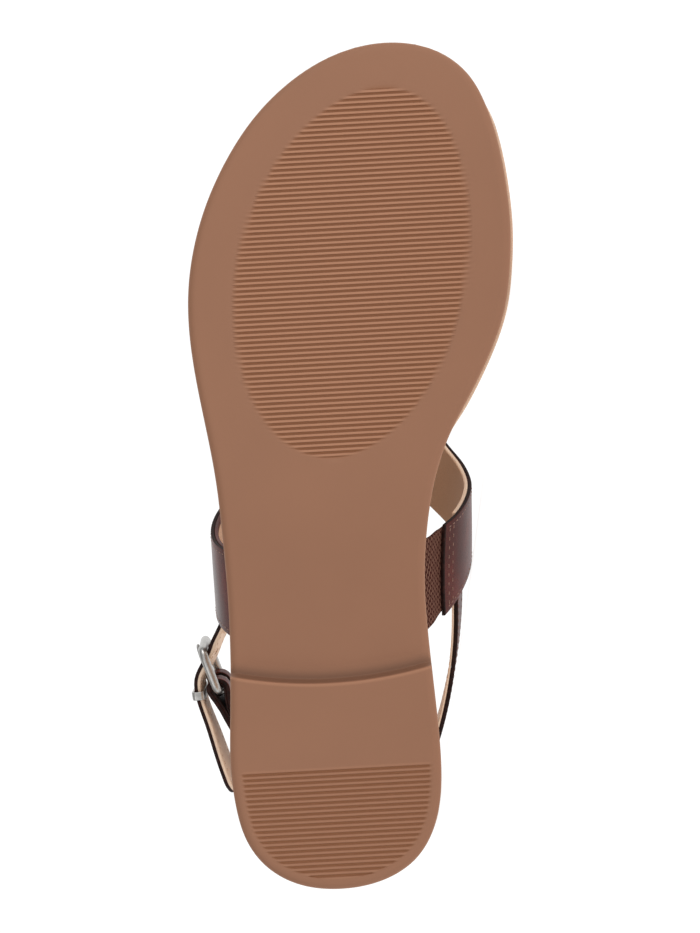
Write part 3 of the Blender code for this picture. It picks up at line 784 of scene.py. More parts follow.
def last_point(y, place):
    """The outside of the upper on the last, at this distance from the heel and place round it."""
    _, ridge, height, medial, inner, lateral, outer = LAST_AT(y - LAST[0][0])
    foot = float(sole_top(y)) + GAP
    if place <= 0.5:
        t = 2.0 * place
        x = edge("medial", y) + LAST_INSET
        swell = (x - medial, foot + MEDIAL_SWELL), (ridge - inner, height)
    else:
        t = 2.0 * (1.0 - place)
        x = edge("lateral", y) - LAST_INSET
        swell = (x + lateral, foot + LATERAL_SWELL), (ridge + outer, height)
    corners = ((x, foot), *swell, (ridge, height))
    weights = ((1.0 - t) ** 3, 3.0 * t * (1.0 - t) ** 2, 3.0 * t * t * (1.0 - t), t**3)
    x, z = (sum(w * corner[i] for w, corner in zip(weights, corners)) for i in (0, 1))
    return np.array([x, y, z])


def last_normal(y, place):
    along = last_point(y + 0.5, place) - last_point(y - 0.5, place)
    low, high = max(0.0, place - 0.005), min(1.0, place + 0.005)
    out = np.cross(last_point(y, high) - last_point(y, low), along)
    return out / np.linalg.norm(out)


def under_band(y, place):
    """Middle of a strap that lies against the inside of the band: x, y, z and lean."""
    round_it = last_point(y, place + 0.005) - last_point(y, place - 0.005)
    x, y, z = last_point(y, place) - last_normal(y, place) * (BAND_DEPTH + UNDER_BAND + 0.5 * STRAP)
    rising = round_it if round_it[2] > 0.0 else -round_it
    return x, y, z, math.degrees(math.atan2(-rising[0], rising[2]))


def buckle_axes():
    """The buckle's own axes: forward from the back bar, out from the foot, and up along the bars."""
    forward = Vector(FRONT_BAR) - Vector(BACK_BAR)
    length = forward.length
    forward.normalize()
    lean = math.radians(BUCKLE_LEAN)
    up = Vector((-math.sin(lean), 0.0, math.cos(lean)))
    up = (up - forward * up.dot(forward)).normalized()
    out = forward.cross(up)
    if out.x < 0.0:
        out.negate()
    return forward, out, up, length


FORWARD, OUT, UP, BUCKLE_LENGTH = buckle_axes()


def at_buckle(along, out):
    return Vector(BACK_BAR) + FORWARD * along + OUT * out


def run(points, pitch):
    """Frames along a strap: how far, position and across, about one for each pitch."""
    at, reach = spline(points, columns=3)
    steps = np.linspace(0.0, reach[-1], max(2, int(round(reach[-1] / pitch)) + 1))
    frames = []
    for step in steps:
        here = at(step)
        ahead = Vector((at(step + 0.2) - at(step - 0.2))[:3]).normalized()
        out = ahead.cross(Vector((0.0, 0.0, 1.0))).normalized()
        lean = math.radians(here[3])
        across = Vector((0.0, 0.0, 1.0)) - ahead * ahead.z
        across = (across.normalized() * math.cos(lean) + out * math.sin(lean)).normalized()
        frames.append((np.array(here[:3]), np.array(across)))
    return steps, frames


def strip(frames):
    """Arrays along a strap: position, across, ahead, and the normal on its right."""
    point = np.array([found[0] for found in frames], float)
    across = np.array([found[1] for found in frames], float)
    ahead = np.gradient(point, axis=0)
    ahead /= np.linalg.norm(ahead, axis=1)[:, None]
    normal = np.cross(ahead, across)
    normal /= np.linalg.norm(normal, axis=1)[:, None]
    return point, across, ahead, normal


def tab_points():
    through = [(*at_buckle(along, out), BUCKLE_LEAN) for along, out in TAB_THROUGH]
    return [under_band(*row) for row in TAB_START] + list(TAB_RUN) + through + list(TAB_TAIL)


def nearest(points, place):
    """Which of the points lies nearest to this place."""
    return int(np.argmin(np.linalg.norm(points - np.array(place), axis=1)))


def heel_frames(wire):
    """Frames of the sling from under the band to its fold round the back bar, and where the fold starts."""
    turn = wire + GAP + 0.5 * STRAP
    points = [under_band(*row) for row in HEEL_START] + list(HEEL_PATH)
    points += [(*at_buckle(along, out), -BUCKLE_LEAN) for along, out in HEEL_BEHIND]
    _, frames = run(points, SLING_PITCH)
    bend = ((-1.4 * FOLD_BEND, 0.54 * turn), (-FOLD_BEND, FOLD_PINCH * turn))
    bend += ((-0.5 * FOLD_BEND, 0.84 * turn),)
    fold = [at_buckle(along, out) for along, out in bend]
    for angle in range(0, 181, 12):
        turned = math.radians(angle)
        fold.append(at_buckle(turn * math.sin(turned), turn * math.cos(turned)))
    fold += [at_buckle(along, -out) for along, out in reversed(bend)]
    tail = np.linspace(*FOLD_BEHIND, FOLD_ROWS)
    fold += [at_buckle(float(along), float(out)) for along, out in tail]
    return frames + [(np.array(point), np.array(UP)) for point in fold], len(frames)


# Modelling


def stand_matrix():
    """From the shoe's millimetres to the frame's metres, by where the record puts the two treads."""
    mounts = {mount["name"]: mount for mount in frame["record"]["mounts"]}
    heel = Vector(mounts["heel_tread"]["pos_m"])
    up = -Vector(mounts["heel_tread"]["axis"]).normalized()
    toe = Vector(mounts["forefoot_tread"]["pos_m"]) - heel
    toe = (toe - up * toe.dot(up)).normalized()
    turn = Matrix((toe.cross(up), toe, up)).transposed().to_4x4()
    return Matrix.Translation(heel - toe * HEEL_TREAD * MM) @ turn @ Matrix.Scale(MM, 4)


STAND = stand_matrix()
STAND_TURN = np.array(STAND.to_3x3())
STAND_MOVE = np.array(STAND.translation)


def placed(points):
    """Shoe millimetres as points of the frame."""
    return np.asarray(points, float) @ STAND_TURN.T + STAND_MOVE


def add(name, primitive, **settings):
    """Adds a primitive and names it."""
    bpy.ops.object.select_all(action="DESELECT")
    primitive(**settings)
    obj = bpy.context.object
    obj.name = name
    obj.data.name = name
    return obj


def start_sheet(name, rows, columns):
    """A flat grid to be shaped, with each corner's row and column kept on it."""
    grid = bpy.ops.mesh.primitive_grid_add
    obj = add(name, grid, x_subdivisions=columns, y_subdivisions=rows, size=1.0)
    count = len(obj.data.vertices)
    if count != (rows + 1) * (columns + 1):
        raise RuntimeError(f"{name}: the grid has {count} corners")
    flat = np.empty(3 * count)
    obj.data.vertices.foreach_get("co", flat)
    flat = flat.reshape(-1, 3)
    column = np.rint((flat[:, 0] + 0.5) * columns).astype(int)
    row = np.rint((flat[:, 1] + 0.5) * rows).astype(int)
    for label, values in (("row", row), ("column", column)):
        obj.data.attributes.new(label, "INT", "POINT").data.foreach_set("value", values)
    return obj, row, column


def shape(obj, points):
    """Puts the corners of a piece where these shoe points are."""
    obj.data.vertices.foreach_set("co", placed(points).astype(np.float32).ravel())
    obj.data.update()


def mark(obj, label, values):
    """Keeps a value for each corner on the mesh, for a finish to read."""
    found = obj.data.attributes.get(label) or obj.data.attributes.new(label, "FLOAT", "POINT")
    found.data.foreach_set("value", np.asarray(values, np.float32))


def lay_map(obj, values):
    """Gives each corner its own place on the piece's map."""
    corners = np.empty(len(obj.data.loops), np.int32)
    obj.data.loops.foreach_get("vertex_index", corners)
    obj.data.uv_layers.active.data.foreach_set("uv", np.asarray(values, np.float32)[corners].ravel())


def alone(obj):
    """Makes a piece the only one selected, and the active one."""
    bpy.ops.object.select_all(action="DESELECT")
    obj.select_set(True)
    bpy.context.view_layer.objects.active = obj


def edit(obj):
    """Opens a piece for editing, with nothing selected on it."""
    alone(obj)
    bpy.ops.object.mode_set(mode="EDIT")
    bpy.ops.mesh.select_all(action="DESELECT")
    bpy.ops.mesh.select_mode(type="EDGE")


def choose(obj, elements, test):
    """Selects the edges or faces of the open piece that pass the test."""
    mesh = bmesh.from_edit_mesh(obj.data)
    for element in getattr(mesh, elements):
        element.select_set(test(element))
    bmesh.update_edit_mesh(obj.data)


def grid_places(obj):
    """A function for the row and column of a corner of the open piece."""
    layers = bmesh.from_edit_mesh(obj.data).verts.layers.int
    rows, columns = layers["row"], layers["column"]
    return lambda vertex: (vertex[rows], vertex[columns])


def close_edit():
    bpy.ops.object.mode_set(mode="OBJECT")


def extrude_rim(obj, place):
    """Extrudes the selected edges once, and puts each new corner where place(row, column) says."""
    bpy.ops.mesh.extrude_region_move(TRANSFORM_OT_translate={"value": (0.0, 0.0, 0.0)})
    mesh = bmesh.from_edit_mesh(obj.data)
    chosen = [vertex for vertex in mesh.verts if vertex.select]
    rows, columns = np.array([*map(grid_places(obj), chosen)]).T
    for vertex, point in zip(chosen, placed(place(rows, columns))):
        vertex.co = point
    bmesh.update_edit_mesh(obj.data)


def merge_and_turn_out():
    """Merges doubles and turns the faces of a closed piece outwards."""
    bpy.ops.mesh.select_all(action="SELECT")
    bpy.ops.mesh.remove_doubles(threshold=1e-7)
    bpy.ops.mesh.normals_make_consistent(inside=False)


def thicken(obj, thickness, rounding):
    """Gives a sheet its thickness, with its rim in the second finish, and rounds the cut edges."""
    solid = obj.modifiers.new("thickness", "SOLIDIFY")
    solid.thickness = thickness * MM
    solid.offset = -1.0
    solid.use_even_offset = True
    solid.material_offset_rim = 1
    if rounding:
        bevel = obj.modifiers.new("rounding", "BEVEL")
        bevel.width = rounding * MM
        bevel.segments = 2
        bevel.limit_method = "ANGLE"
        bevel.angle_limit = math.radians(50.0)
        bevel.use_clamp_overlap = True
        bevel.harden_normals = False


def apply_modifiers(obj):
    alone(obj)
    for modifier in list(obj.modifiers):
        bpy.ops.object.modifier_apply(modifier=modifier.name)


def smooth(obj, angle):
    alone(obj)
    bpy.ops.object.shade_smooth_by_angle(angle=math.radians(angle))


def face_towards(obj, outward):
    """Turns a sheet round if its faces point against these shoe directions at its middle."""
    middle = obj.data.polygons[len(obj.data.polygons) // 2]
    if middle.normal.dot(Vector(STAND_TURN @ np.asarray(outward, float))) < 0.0:
        edit(obj)
        bpy.ops.mesh.select_all(action="SELECT")
        bpy.ops.mesh.flip_normals()
        close_edit()


def dress(obj, finishes):
    obj.data.materials.clear()
    for name in finishes:
        obj.data.materials.append(finish(name))


def paint_faces(obj, slot, test):
    """Gives faces of a sheet this material where test(rows, columns) of their corners holds."""
    rows, columns = (obj.data.attributes[label].data for label in ("row", "column"))
    for face in obj.data.polygons:
        corners = list(face.vertices)
        if test([rows[c].value for c in corners], [columns[c].value for c in corners]):
            face.material_index = slot


def keep(obj, node=None, slot=None):
    """Clears the marks used in modelling, puts the piece under the root body and hides the part it stands
    for.
    """
    for label in ("row", "column"):
        if label in obj.data.attributes:
            obj.data.attributes.remove(obj.data.attributes[label])
    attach(obj, "root")
    if node:
        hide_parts(node)
    slot or node


def make_up(obj, thickness, rounding, angle, node, cutters=()):
    """Thickens a sheet, cuts its holes, smooths it and keeps it."""
    thicken(obj, thickness, rounding)
    for cutter in cutters:
        hole = obj.modifiers.new("hole", "BOOLEAN")
        hole.operation = "DIFFERENCE"
        hole.solver = "EXACT"
        hole.object = cutter
    apply_modifiers(obj)
    for cutter in cutters:
        bpy.data.objects.remove(cutter, do_unlink=True)
    smooth(obj, angle)
    keep(obj, node)


def sole_plate(name, rows, lines, inset, level):
    """The face of a plate with the sole's plan, and functions for the rings that grow from its rim.

    The face is a grid with these rows, from the heel to the toe. lines(left, right, slant) gives x across
    a row. The face is set in by inset(y, side), and level(station, x, y) is its height.
    """
    columns = len(lines(0.0, 1.0, 1.0)) - 1
    last = len(rows) + 1
    obj, row, column = start_sheet(name, last, columns)
    points = np.zeros((last + 1, columns + 1, 3))
    index = np.zeros((last + 1, columns + 1))
    station = np.zeros((last + 1, columns + 1))
    for number, here in enumerate(rows, 1):
        ends = []
        for side, at in (("medial", 0), ("lateral", columns)):
            y = here
            for _ in range(5):
                found, x = rail(side, inset, y)
                y = here + float(bow(here)) * (x / BOW_HALF) ** 2
            index[number, at] = found
            _, inward = on_ring(found)
            ends.append((float(x), abs(float(inward[0]))))
        across = lines(ends[0][0], ends[1][0], max(0.25, min(ends[0][1], ends[1][1])))
        points[number, :, 0] = across
        points[number, :, 1] = here + bow(here) * (across / BOW_HALF) ** 2
        station[number] = here
    for at, y in ((0, rows[0] - END_STEP), (last, rows[-1] + END_STEP)):
        medial, lateral = (rail(side, inset, y)[0] for side in ("medial", "lateral"))
        if at == 0:
            medial = medial - RING_END
        index[at] = np.linspace(medial, lateral, columns + 1)
        point, inward = on_ring(index[at])
        side = np.where(np.arange(columns + 1) < columns / 2, "medial", "lateral")
        more = np.array([float(inset(y, s)) for (_, y), s in zip(point, side)])
        moved = point + inward * more[:, None]
        points[at, :, :2] = moved
        station[at] = moved[:, 1]
    points[..., 2] = level(station, points[..., 0], points[..., 1])
    shape(obj, points[row, column])

    def ring(further, height):
        """The plan set in further, with its height from station and y."""

        def place(r, c):
            point, inward = on_ring(index[r, c])
            medial = np.where(c < columns / 2, 1.0, 0.0)
            set_in = medial * inset(point[:, 1], "medial") + (1.0 - medial) * inset(point[:, 1], "lateral")
            moved = point + inward * (set_in + further)[:, None]
            here = np.where((r == 0) | (r == last), moved[:, 1], station[r, c])
            return np.column_stack([moved, height(here, moved[:, 1])])

        return place

    def fold(further, height):
        """A ring brought together along the middle of the plan."""
        outer = ring(further, height)

        def place(r, c):
            middle = 0.5 * (outer(r, np.zeros_like(c)) + outer(r, np.full_like(c, columns)))
            middle[:, 2] = height(middle[:, 1], middle[:, 1])
            return middle

        return place

    return obj, (row, column), ring, fold


def grow_rings(obj, places):
    """Extrudes the rim of a plate through these rings, the last of them folded, and closes the piece."""
    edit(obj)
    choose(obj, "edges", lambda line: line.is_boundary)
    for place in places:
        extrude_rim(obj, place)
    merge_and_turn_out()
    close_edit()


def section_loop(half_along, half_up, corner, steps):
    """Carries the selected section round a rectangle with round corners, from the middle of its front."""
    runs = ((0.0, half_up - corner), (-2.0 * (half_along - corner), 0.0), (0.0, -2.0 * (half_up - corner)))
    runs += ((2.0 * (half_along - corner), 0.0), (0.0, half_up - corner))
    turns = ((1, 1), (-1, 1), (-1, -1), (1, -1))
    for i, (a, b) in enumerate(runs):
        bpy.ops.mesh.extrude_region_move(TRANSFORM_OT_translate={"value": (a * MM, b * MM, 0.0)})
        if i < len(turns):
            x, y = turns[i]
            middle = (x * (half_along - corner) * MM, y * (half_up - corner) * MM, 0.0)
            bpy.ops.mesh.spin(steps=steps, angle=-math.pi / 2.0, center=middle, axis=(0.0, 0.0, 1.0))


def buckle_matrix(middle_along):
    """From a flat drawing, with x forward and y up along the bars, to its place on the buckle."""
    turn = Matrix((FORWARD, UP, OUT)).transposed().to_4x4()
    lift = Matrix.Translation(at_buckle(middle_along, 0.0))
    return STAND @ lift @ turn @ Matrix.Scale(1.0 / MM, 4)


def seam(points, normals, pitch, spare):
    """Places for stitches along a line: middle, direction and normal, one for each pitch."""
    points, normals = np.asarray(points, float), np.asarray(normals, float)
    reach = distances(points)
    count = max(2, int((reach[-1] - 2.0 * spare) / pitch))
    at = np.linspace(spare, reach[-1] - spare, count)

    def along(where, values):
        return np.stack([np.interp(where, reach, values[:, i]) for i in range(3)], axis=1)

    middle = along(at, points)
    ahead = along(at + 0.3, points) - along(at - 0.3, points)
    return list(zip(middle, ahead, along(at, normals)))


def one_stitch(radius):
    """One stitch along x: a short round thread whose ends dip into the leather."""
    obj = add(
        "stitch_pattern",
        bpy.ops.mesh.primitive_cylinder_add,
        vertices=6,
        radius=radius,
        depth=STITCH * 0.55,
        end_fill_type="NGON",
        rotation=(0.0, math.pi / 2.0, 0.0),
    )
    bpy.ops.object.transform_apply(location=True, rotation=True, scale=True)
    for side in (-1.0, 1.0):
        edit(obj)
        bpy.ops.mesh.select_mode(type="FACE")
        choose(obj, "faces", lambda face: face.normal.x * side > 0.9)
        dip = (side * STITCH * 0.225, 0.0, -0.75 * radius)
        bpy.ops.mesh.extrude_region_move(TRANSFORM_OT_translate={"value": dip})
        bpy.ops.transform.resize(value=(0.55, 0.55, 0.55))
        close_edit()
    return obj


def sew(name, places, radius, finish_name, slot):
    """Copies one stitch to each place, and keeps them as one piece."""
    obj = one_stitch(radius)
    made = bmesh.new()
    for middle, ahead, normal in places:
        ahead, normal = Vector(ahead).normalized(), Vector(normal).normalized()
        side = normal.cross(ahead).normalized()
        turn = Matrix((ahead, side, ahead.cross(side))).transposed().to_4x4()
        before = len(made.verts)
        made.from_mesh(obj.data)
        made.verts.ensure_lookup_table()
        move = STAND @ Matrix.Translation(Vector(middle) - normal * STITCH_SUNK) @ turn
        bmesh.ops.transform(made, matrix=move, verts=made.verts[before:])
    made.to_mesh(obj.data)
    made.free()
    obj.name = name
    obj.data.name = name
    dress(obj, [finish_name])
    smooth(obj, 60.0)
    keep(obj, slot=slot)


def ribbed(y, start, pitch, rib):
    """1 on the ribs and 0 between them."""
    away = np.abs((y - start) / pitch - np.rint((y - start) / pitch))
    return 1.0 - ease(away, *rib)


def rib_rows(start, pitch, count, rib):
    """Rows across each rib: the groove before it, both ends of each flank, and its middle."""
    top, foot = rib
    near = np.array([-0.5, -foot, -top, 0.0, top, foot])
    return [y for k in range(count) for y in start + pitch * (k + near)]


def oval_inside(x, y):
    """How far inside the forefoot panel a point is."""
    lift = y - OVAL_MIDDLE[1]
    rise = lift / OVAL_HALF[1]
    middle = OVAL_MIDDLE[0] - OVAL_LEAN * lift - OVAL_EGG * np.maximum(lift, 0.0) ** 2
    side = (x - middle) / OVAL_HALF[0]
    size = np.maximum(np.hypot(side, rise), 1e-6)
    slope = np.hypot(side / OVAL_HALF[0], rise / OVAL_HALF[1]) / size
    return (1.0 - size) / slope


def from_outline(x, y):
    """How far inside the sole's plan the points near the heel are."""
    near = RING[RING[:, 1] < 60.0]
    away = np.full(x.shape, 1e9)
    for px, py in near:
        np.minimum(away, np.hypot(x - px, y - py), out=away)
    return away


class SANDAL_OT_outsole(bpy.types.Operator):
    """Moulds the sole: ribbed panels, breast, rounded edge and walls"""

    bl_idname = "sandal.outsole"
    bl_label = "Outsole"

    def mark_walls(self, obj):
        """Marks the walls, which are warmer, partly as their own tone and partly as painted highlight,
        painted shade in the cove at the breast, and a painted highlight along its edge.
        """
        count = len(obj.data.vertices)
        found = {}
        for label in ("co", "normal"):
            found[label] = np.empty((count, 3), np.float32)
            obj.data.vertices.foreach_get(label, found[label].ravel())
        for label in ("groove", "ridge"):
            found[label] = np.empty(count, np.float32)
            obj.data.attributes[label].data.foreach_get("value", found[label])
        place = (found["co"] - STAND_MOVE) @ STAND_TURN / MM**2
        normal = found["normal"] @ STAND_TURN / MM
        past = place[:, 1] - BREAST - BREAST_BOW * (place[:, 0] / BOW_HALF) ** 2
        away = (np.abs(past - 4.0) > 8.0) | (normal[:, 1] < 0.6)
        plain = (found["groove"] + found["ridge"] < 0.05) & away
        under = place[:, 2] < 5.6
        # Walls get a lighter, warmer colour: partly their own tone, partly a painted highlight
        mark(obj, "wall", ease(1.0 - np.abs(normal[:, 2]), 0.25, 0.95) * plain)
        # Painted shade in the cove in front of the breast, where the heel block shades the waist
        mark(obj, "cove", ease(past, -0.15, 0.25) * (1.0 - ease(past, 1.3, 4.8)) * under)
        # A painted highlight along the heel block's edge at the breast, added to the rib tops' mark so it
        # takes their paler colour
        worn = ease(past, -1.0, -0.7) * (1.0 - ease(past, -0.25, 0.0)) * under
        mark(obj, "ridge", np.maximum(found["ridge"], 0.6 * worn))

    def execute(self, context):
        sizes = context.scene.sandal_sole
        depth, round_edge = sizes.groove / MM, sizes.edge_round / MM
        ball_pitch, heel_pitch = sizes.forefoot_pitch / MM, sizes.heel_pitch / MM
        heel_start = HEEL_PANEL_FRONT - (HEEL_RIBS - 1) * heel_pitch
        heel_rows = rib_rows(heel_start, heel_pitch, HEEL_RIBS, HEEL_RIB)
        rows = [FIRST_ROW] + [y for y in heel_rows if y > FIRST_ROW + 0.1]
        rows += [HEEL_PANEL_FRONT + 0.5 * heel_pitch, *np.linspace(*HEEL_ROWS)]
        rows += [BREAST + step for step in BREAST_ROWS + COVE_ROWS]
        rows += [*np.linspace(*ARCH_ROWS), *rib_rows(OVAL_START, ball_pitch, OVAL_RIBS, OVAL_RIB)]
        rows += [OVAL_START + ball_pitch * (OVAL_RIBS - 0.5), *np.linspace(*TOE_ROWS)]

        def lines(left, right, slant):
            reach = 0.5 * (right - left)
            edge_lines = np.minimum(np.array(EDGE_LINES) / slant, reach * np.array(EDGE_SHARES))
            inner = np.linspace(left + edge_lines[-1], right - edge_lines[-1], INNER_LINES)[1:-1]
            return np.concatenate([left + edge_lines, inner, (right - edge_lines)[::-1]])

        relief = {}

        def level(station, x, y):
            ball = ease(oval_inside(x, y), -0.6, 1.0)
            heel = np.zeros_like(x)
            back = y < HEEL_PANEL_FRONT + 0.5 * heel_pitch
            heel[back] = ease(from_outline(x[back], y[back]), HEEL_MARGIN, HEEL_MARGIN + 0.28)
            past = (y - HEEL_PANEL_FRONT) / heel_pitch
            heel *= 1.0 - ease(past, 0.1, 0.36)
            ball_rib = ribbed(y, OVAL_START, ball_pitch, OVAL_RIB)
            heel_rib = ribbed(y, heel_start, heel_pitch, HEEL_RIB)
            # Marks for the finish: grooves darker, partly painted shade, and rib tops paler, partly painted
            # highlight
            relief["groove"] = ball * (1.0 - ball_rib) + heel * (1.0 - heel_rib)
            relief["ridge"] = ball * ball_rib + HEEL_SHINE * heel * heel_rib
            return sole_bottom(station) + depth * relief["groove"]

        def inset(y, side):
            return np.full(np.shape(y), round_edge)

        obj, corners, ring, fold = sole_plate("sole_moulding", rows, lines, inset, level)
        mark(obj, "groove", relief["groove"][corners])
        mark(obj, "ridge", relief["ridge"][corners])
        places = []
        for angle in (20.0, 40.0, 60.0, 78.0, 90.0):
            turned = math.radians(angle)
            rise = round_edge * (1.0 - math.cos(turned))
            around = ring(-round_edge * math.sin(turned), lambda s, y, rise=rise: sole_bottom(s) + rise)
            places.append(around)

        def wall(part):
            low, high = round_edge, TOP_ROUND
            return lambda s, y: (sole_bottom(s) + low) * (1.0 - part) + (sole_top(y) - high) * part

        def top(s, y):
            return sole_top(y)

        shoulder = 0.29 * TOP_ROUND
        places += [ring(-round_edge, wall(part)) for part in (0.35, 0.7, 1.0)]
        places.append(ring(-round_edge + shoulder, lambda s, y: sole_top(y) - shoulder))
        places += [ring(-round_edge + TOP_ROUND, top), fold(-round_edge + TOP_ROUND, top)]
        grow_rings(obj, places)
        self.mark_walls(obj)
        dress(obj, ["gum_rubber"])
        smooth(obj, 42.0)
        keep(obj, "outsole")
        return {"FINISHED"}


class SANDAL_OT_footbed(bpy.types.Operator):
    """Lays the footbed on the sole: a covered board with a soft rim"""

    bl_idname = "sandal.footbed"
    bl_label = "Footbed"

    def execute(self, context):
        rows = np.concatenate([np.linspace(*row) for row in FOOTBED_ROWS])
        part = 0.5 - 0.5 * np.cos(np.linspace(0.0, math.pi, FOOTBED_LINES))

        def lines(left, right, slant):
            return left + (right - left) * part

        def inset(y, side):
            return footbed_inset(y, side) + RIM_SOFT

        def down(drop):
            return lambda s, y: sole_top(y) + GAP + FOOTBED - drop

        obj, _, ring, fold = sole_plate("footbed", rows, lines, inset, lambda s, x, y: down(0.0)(s, y))
        places = [ring(more, down(drop)) for more, drop in FOOTBED_RIM]
        places.append(fold(FOOTBED_RIM[-1][0], down(FOOTBED_RIM[-1][1])))
        grow_rings(obj, places)
        dress(obj, ["footbed_cover"])
        smooth(obj, 50.0)
        keep(obj, "insole")
        return {"FINISHED"}


BAND_COLUMNS = 18
MEDIAL_ROWS = 64
STEM_ROWS = 14
LATERAL_ROWS = 66
TURNED_EDGE = MEDIAL_ROWS + STEM_ROWS
BAND_ROUNDING = 0.28
LINING_ROUNDING = 0.22
LEATHER_FINISHES = ("polished_leather", "painted_edge")
# The pale lining on the cut edges is partly their own tone and partly painted highlight; the tab's lining
# wears it all over as painted light on a shaded face
UPPER_LINING_FINISHES = ("lining_leather", "pale_lining", "polished_leather", "polished_leather")
SLING_LINING_FINISHES = ("lining_leather", "pale_lining", "painted_edge", "painted_edge")
TAB_LINING_FINISHES = ("pale_lining", "pale_lining")


def t_strap(name, start):
    """The T-strap as one sheet on the last: a grid for the instep band, then the stem and toe post."""
    stem_start, stem_end = 0.5 - STEM_HALF, 0.5 + STEM_HALF
    places = [start]
    places += list(np.linspace(start + END_PAINT, stem_start, MEDIAL_ROWS - 1, endpoint=False))
    places += list(np.linspace(stem_start, stem_end, STEM_ROWS, endpoint=False))
    places += list(np.linspace(stem_end, 1.0, LATERAL_ROWS))
    obj, row, column = start_sheet(name, len(places) - 1, BAND_COLUMNS)
    points = np.zeros((len(places), BAND_COLUMNS + 1, 3))
    for i, place in enumerate(places):
        _, back, front = BAND_AT(100.0 * place)
        for k in range(BAND_COLUMNS + 1):
            points[i, k] = last_point(back + (front - back) * k / BAND_COLUMNS, place)
    shape(obj, points[row, column])
    lay_map(obj, np.column_stack([row * 0.001, column * 0.001]))
    place = np.array(places)[row]
    mark(obj, "polish", ease(np.minimum(place - GORE_SEAM, 1.0 - place), 0.02, 0.10))
    # Paler front edge of the medial band's lining: partly its own tone, partly a painted highlight
    mark(obj, "rim", (column == BAND_COLUMNS) & (place < stem_start))
    # Painted shade on the lining's medial half, which lies in the shoe's shade
    mark(obj, "worn", 1.0 - ease(place, 0.40, 0.62))
    edge_points = points[MEDIAL_ROWS : TURNED_EDGE + 1, BAND_COLUMNS]
    edit(obj)
    corner = grid_places(obj)

    def at_stem(line):
        ends = [corner(vertex) for vertex in line.verts]
        return all(c == BAND_COLUMNS and MEDIAL_ROWS <= r <= TURNED_EDGE for r, c in ends)

    def stem_row(step, share):
        y, middle, height, width = STEM_AT(step)
        flat = float(ease(step, STEM_REACH[-1] - 8.0, STEM_REACH[-1]))

        def place(r, c):
            side = width * ((r - MEDIAL_ROWS) / STEM_ROWS - 0.5)
            drop = STEM_CROWN * side * side * (1.0 - flat)
            far = np.column_stack([middle + side, np.full(len(r), y), height - drop])
            return edge_points[r - MEDIAL_ROWS] * (1.0 - share) + far * share

        return place

    choose(obj, "edges", at_stem)
    for share in (0.25, 0.5, 0.75):
        extrude_rim(obj, stem_row(0.0, share))
    for step in np.linspace(0.0, STEM_REACH[-1], 30):
        extrude_rim(obj, stem_row(step, 1.0))
    close_edit()
    face_towards(obj, (0.0, 0.3, 1.0))
    return obj


class SANDAL_OT_upper(bpy.types.Operator):
    """Cuts the T-strap from leather and lining, laid on the last"""

    bl_idname = "sandal.upper"
    bl_label = "T-strap"

    def execute(self, context):
        sizes = context.scene.sandal_straps
        leather, lining = sizes.leather / MM, sizes.lining / MM
        outside = t_strap("upper_leather", GORE_SEAM)
        dress(outside, LEATHER_FINISHES)
        paint_faces(outside, 1, lambda rows, columns: max(rows) == 1)
        make_up(outside, leather, BAND_ROUNDING, 45.0, "upper")
        inside = t_strap("upper_lining", LINING_START)
        edit(inside)
        bpy.ops.mesh.select_all(action="SELECT")
        bpy.ops.transform.shrink_fatten(value=-(leather + LAYER_GAP) * MM)
        close_edit()
        dress(inside, UPPER_LINING_FINISHES)
        front = BAND_COLUMNS - 1
        paint_faces(inside, 2, lambda rows, columns: min(columns) == front and rows[0] > TURNED_EDGE)
        make_up(inside, lining, LINING_ROUNDING, 45.0, "upper")
        return {"FINISHED"}


ELASTIC_ROWS = 96
ELASTIC_COLUMNS = 26
ELASTIC_THICK = 0.9
# The elastic lies this deep under the last's surface, and deeper where the band covers it
ELASTIC_DEPTH = 0.55
ELASTIC_DEEPER = 0.72


class SANDAL_OT_elastic(bpy.types.Operator):
    """Weaves the ribbed elastic between the medial band and the sole"""

    bl_idname = "sandal.elastic"
    bl_label = "Elastic"

    def execute(self, context):
        rib = context.scene.sandal_straps.elastic_rib / MM
        places = np.linspace(0.0, GORE_TUCK, ELASTIC_ROWS + 1)
        _, back, front = BAND_AT(0.0)
        reach = distances(np.array([last_point(0.5 * (back + front) + 4.0, place) for place in places]))
        obj, row, column = start_sheet("elastic_web", ELASTIC_ROWS, ELASTIC_COLUMNS)
        points = np.zeros((ELASTIC_ROWS + 1, ELASTIC_COLUMNS + 1, 3))
        lie = np.zeros((ELASTIC_ROWS + 1, ELASTIC_COLUMNS + 1, 2))
        for i, place in enumerate(places):
            _, back, front = BAND_AT(100.0 * place)
            inset = GORE_INSET * min(1.0, place / GORE_SEAM)
            back, front = back + inset, front - inset
            depth = ELASTIC_DEPTH + ELASTIC_DEEPER * float(ease(place, 0.022, 0.049))
            for k in range(ELASTIC_COLUMNS + 1):
                y = back + (front - back) * k / ELASTIC_COLUMNS
                points[i, k] = last_point(y, place) - last_normal(y, place) * depth
                lie[i, k] = y, (reach[i] + ELASTIC_SLANT * y) / rib
        shape(obj, points[row, column])
        lay_map(obj, lie[row, column])
        face_towards(obj, (-1.0, 0.0, -0.3))
        dress(obj, ["ribbed_elastic", "ribbed_elastic"])
        make_up(obj, ELASTIC_THICK, 0.0, 50.0, "elastic_gore")
        return {"FINISHED"}


STRAP_LINES = (-1.0, -0.93, -0.82, -0.64, -0.44, -0.236, -0.09, 0.09, 0.236, 0.44, 0.64, 0.82, 0.93, 1.0)
STRAP_ROUNDING = 0.25
SLOT_COLUMNS = (5, 6, 7)
SLOT_ROWS = 20
PAINTED_ROWS = 14


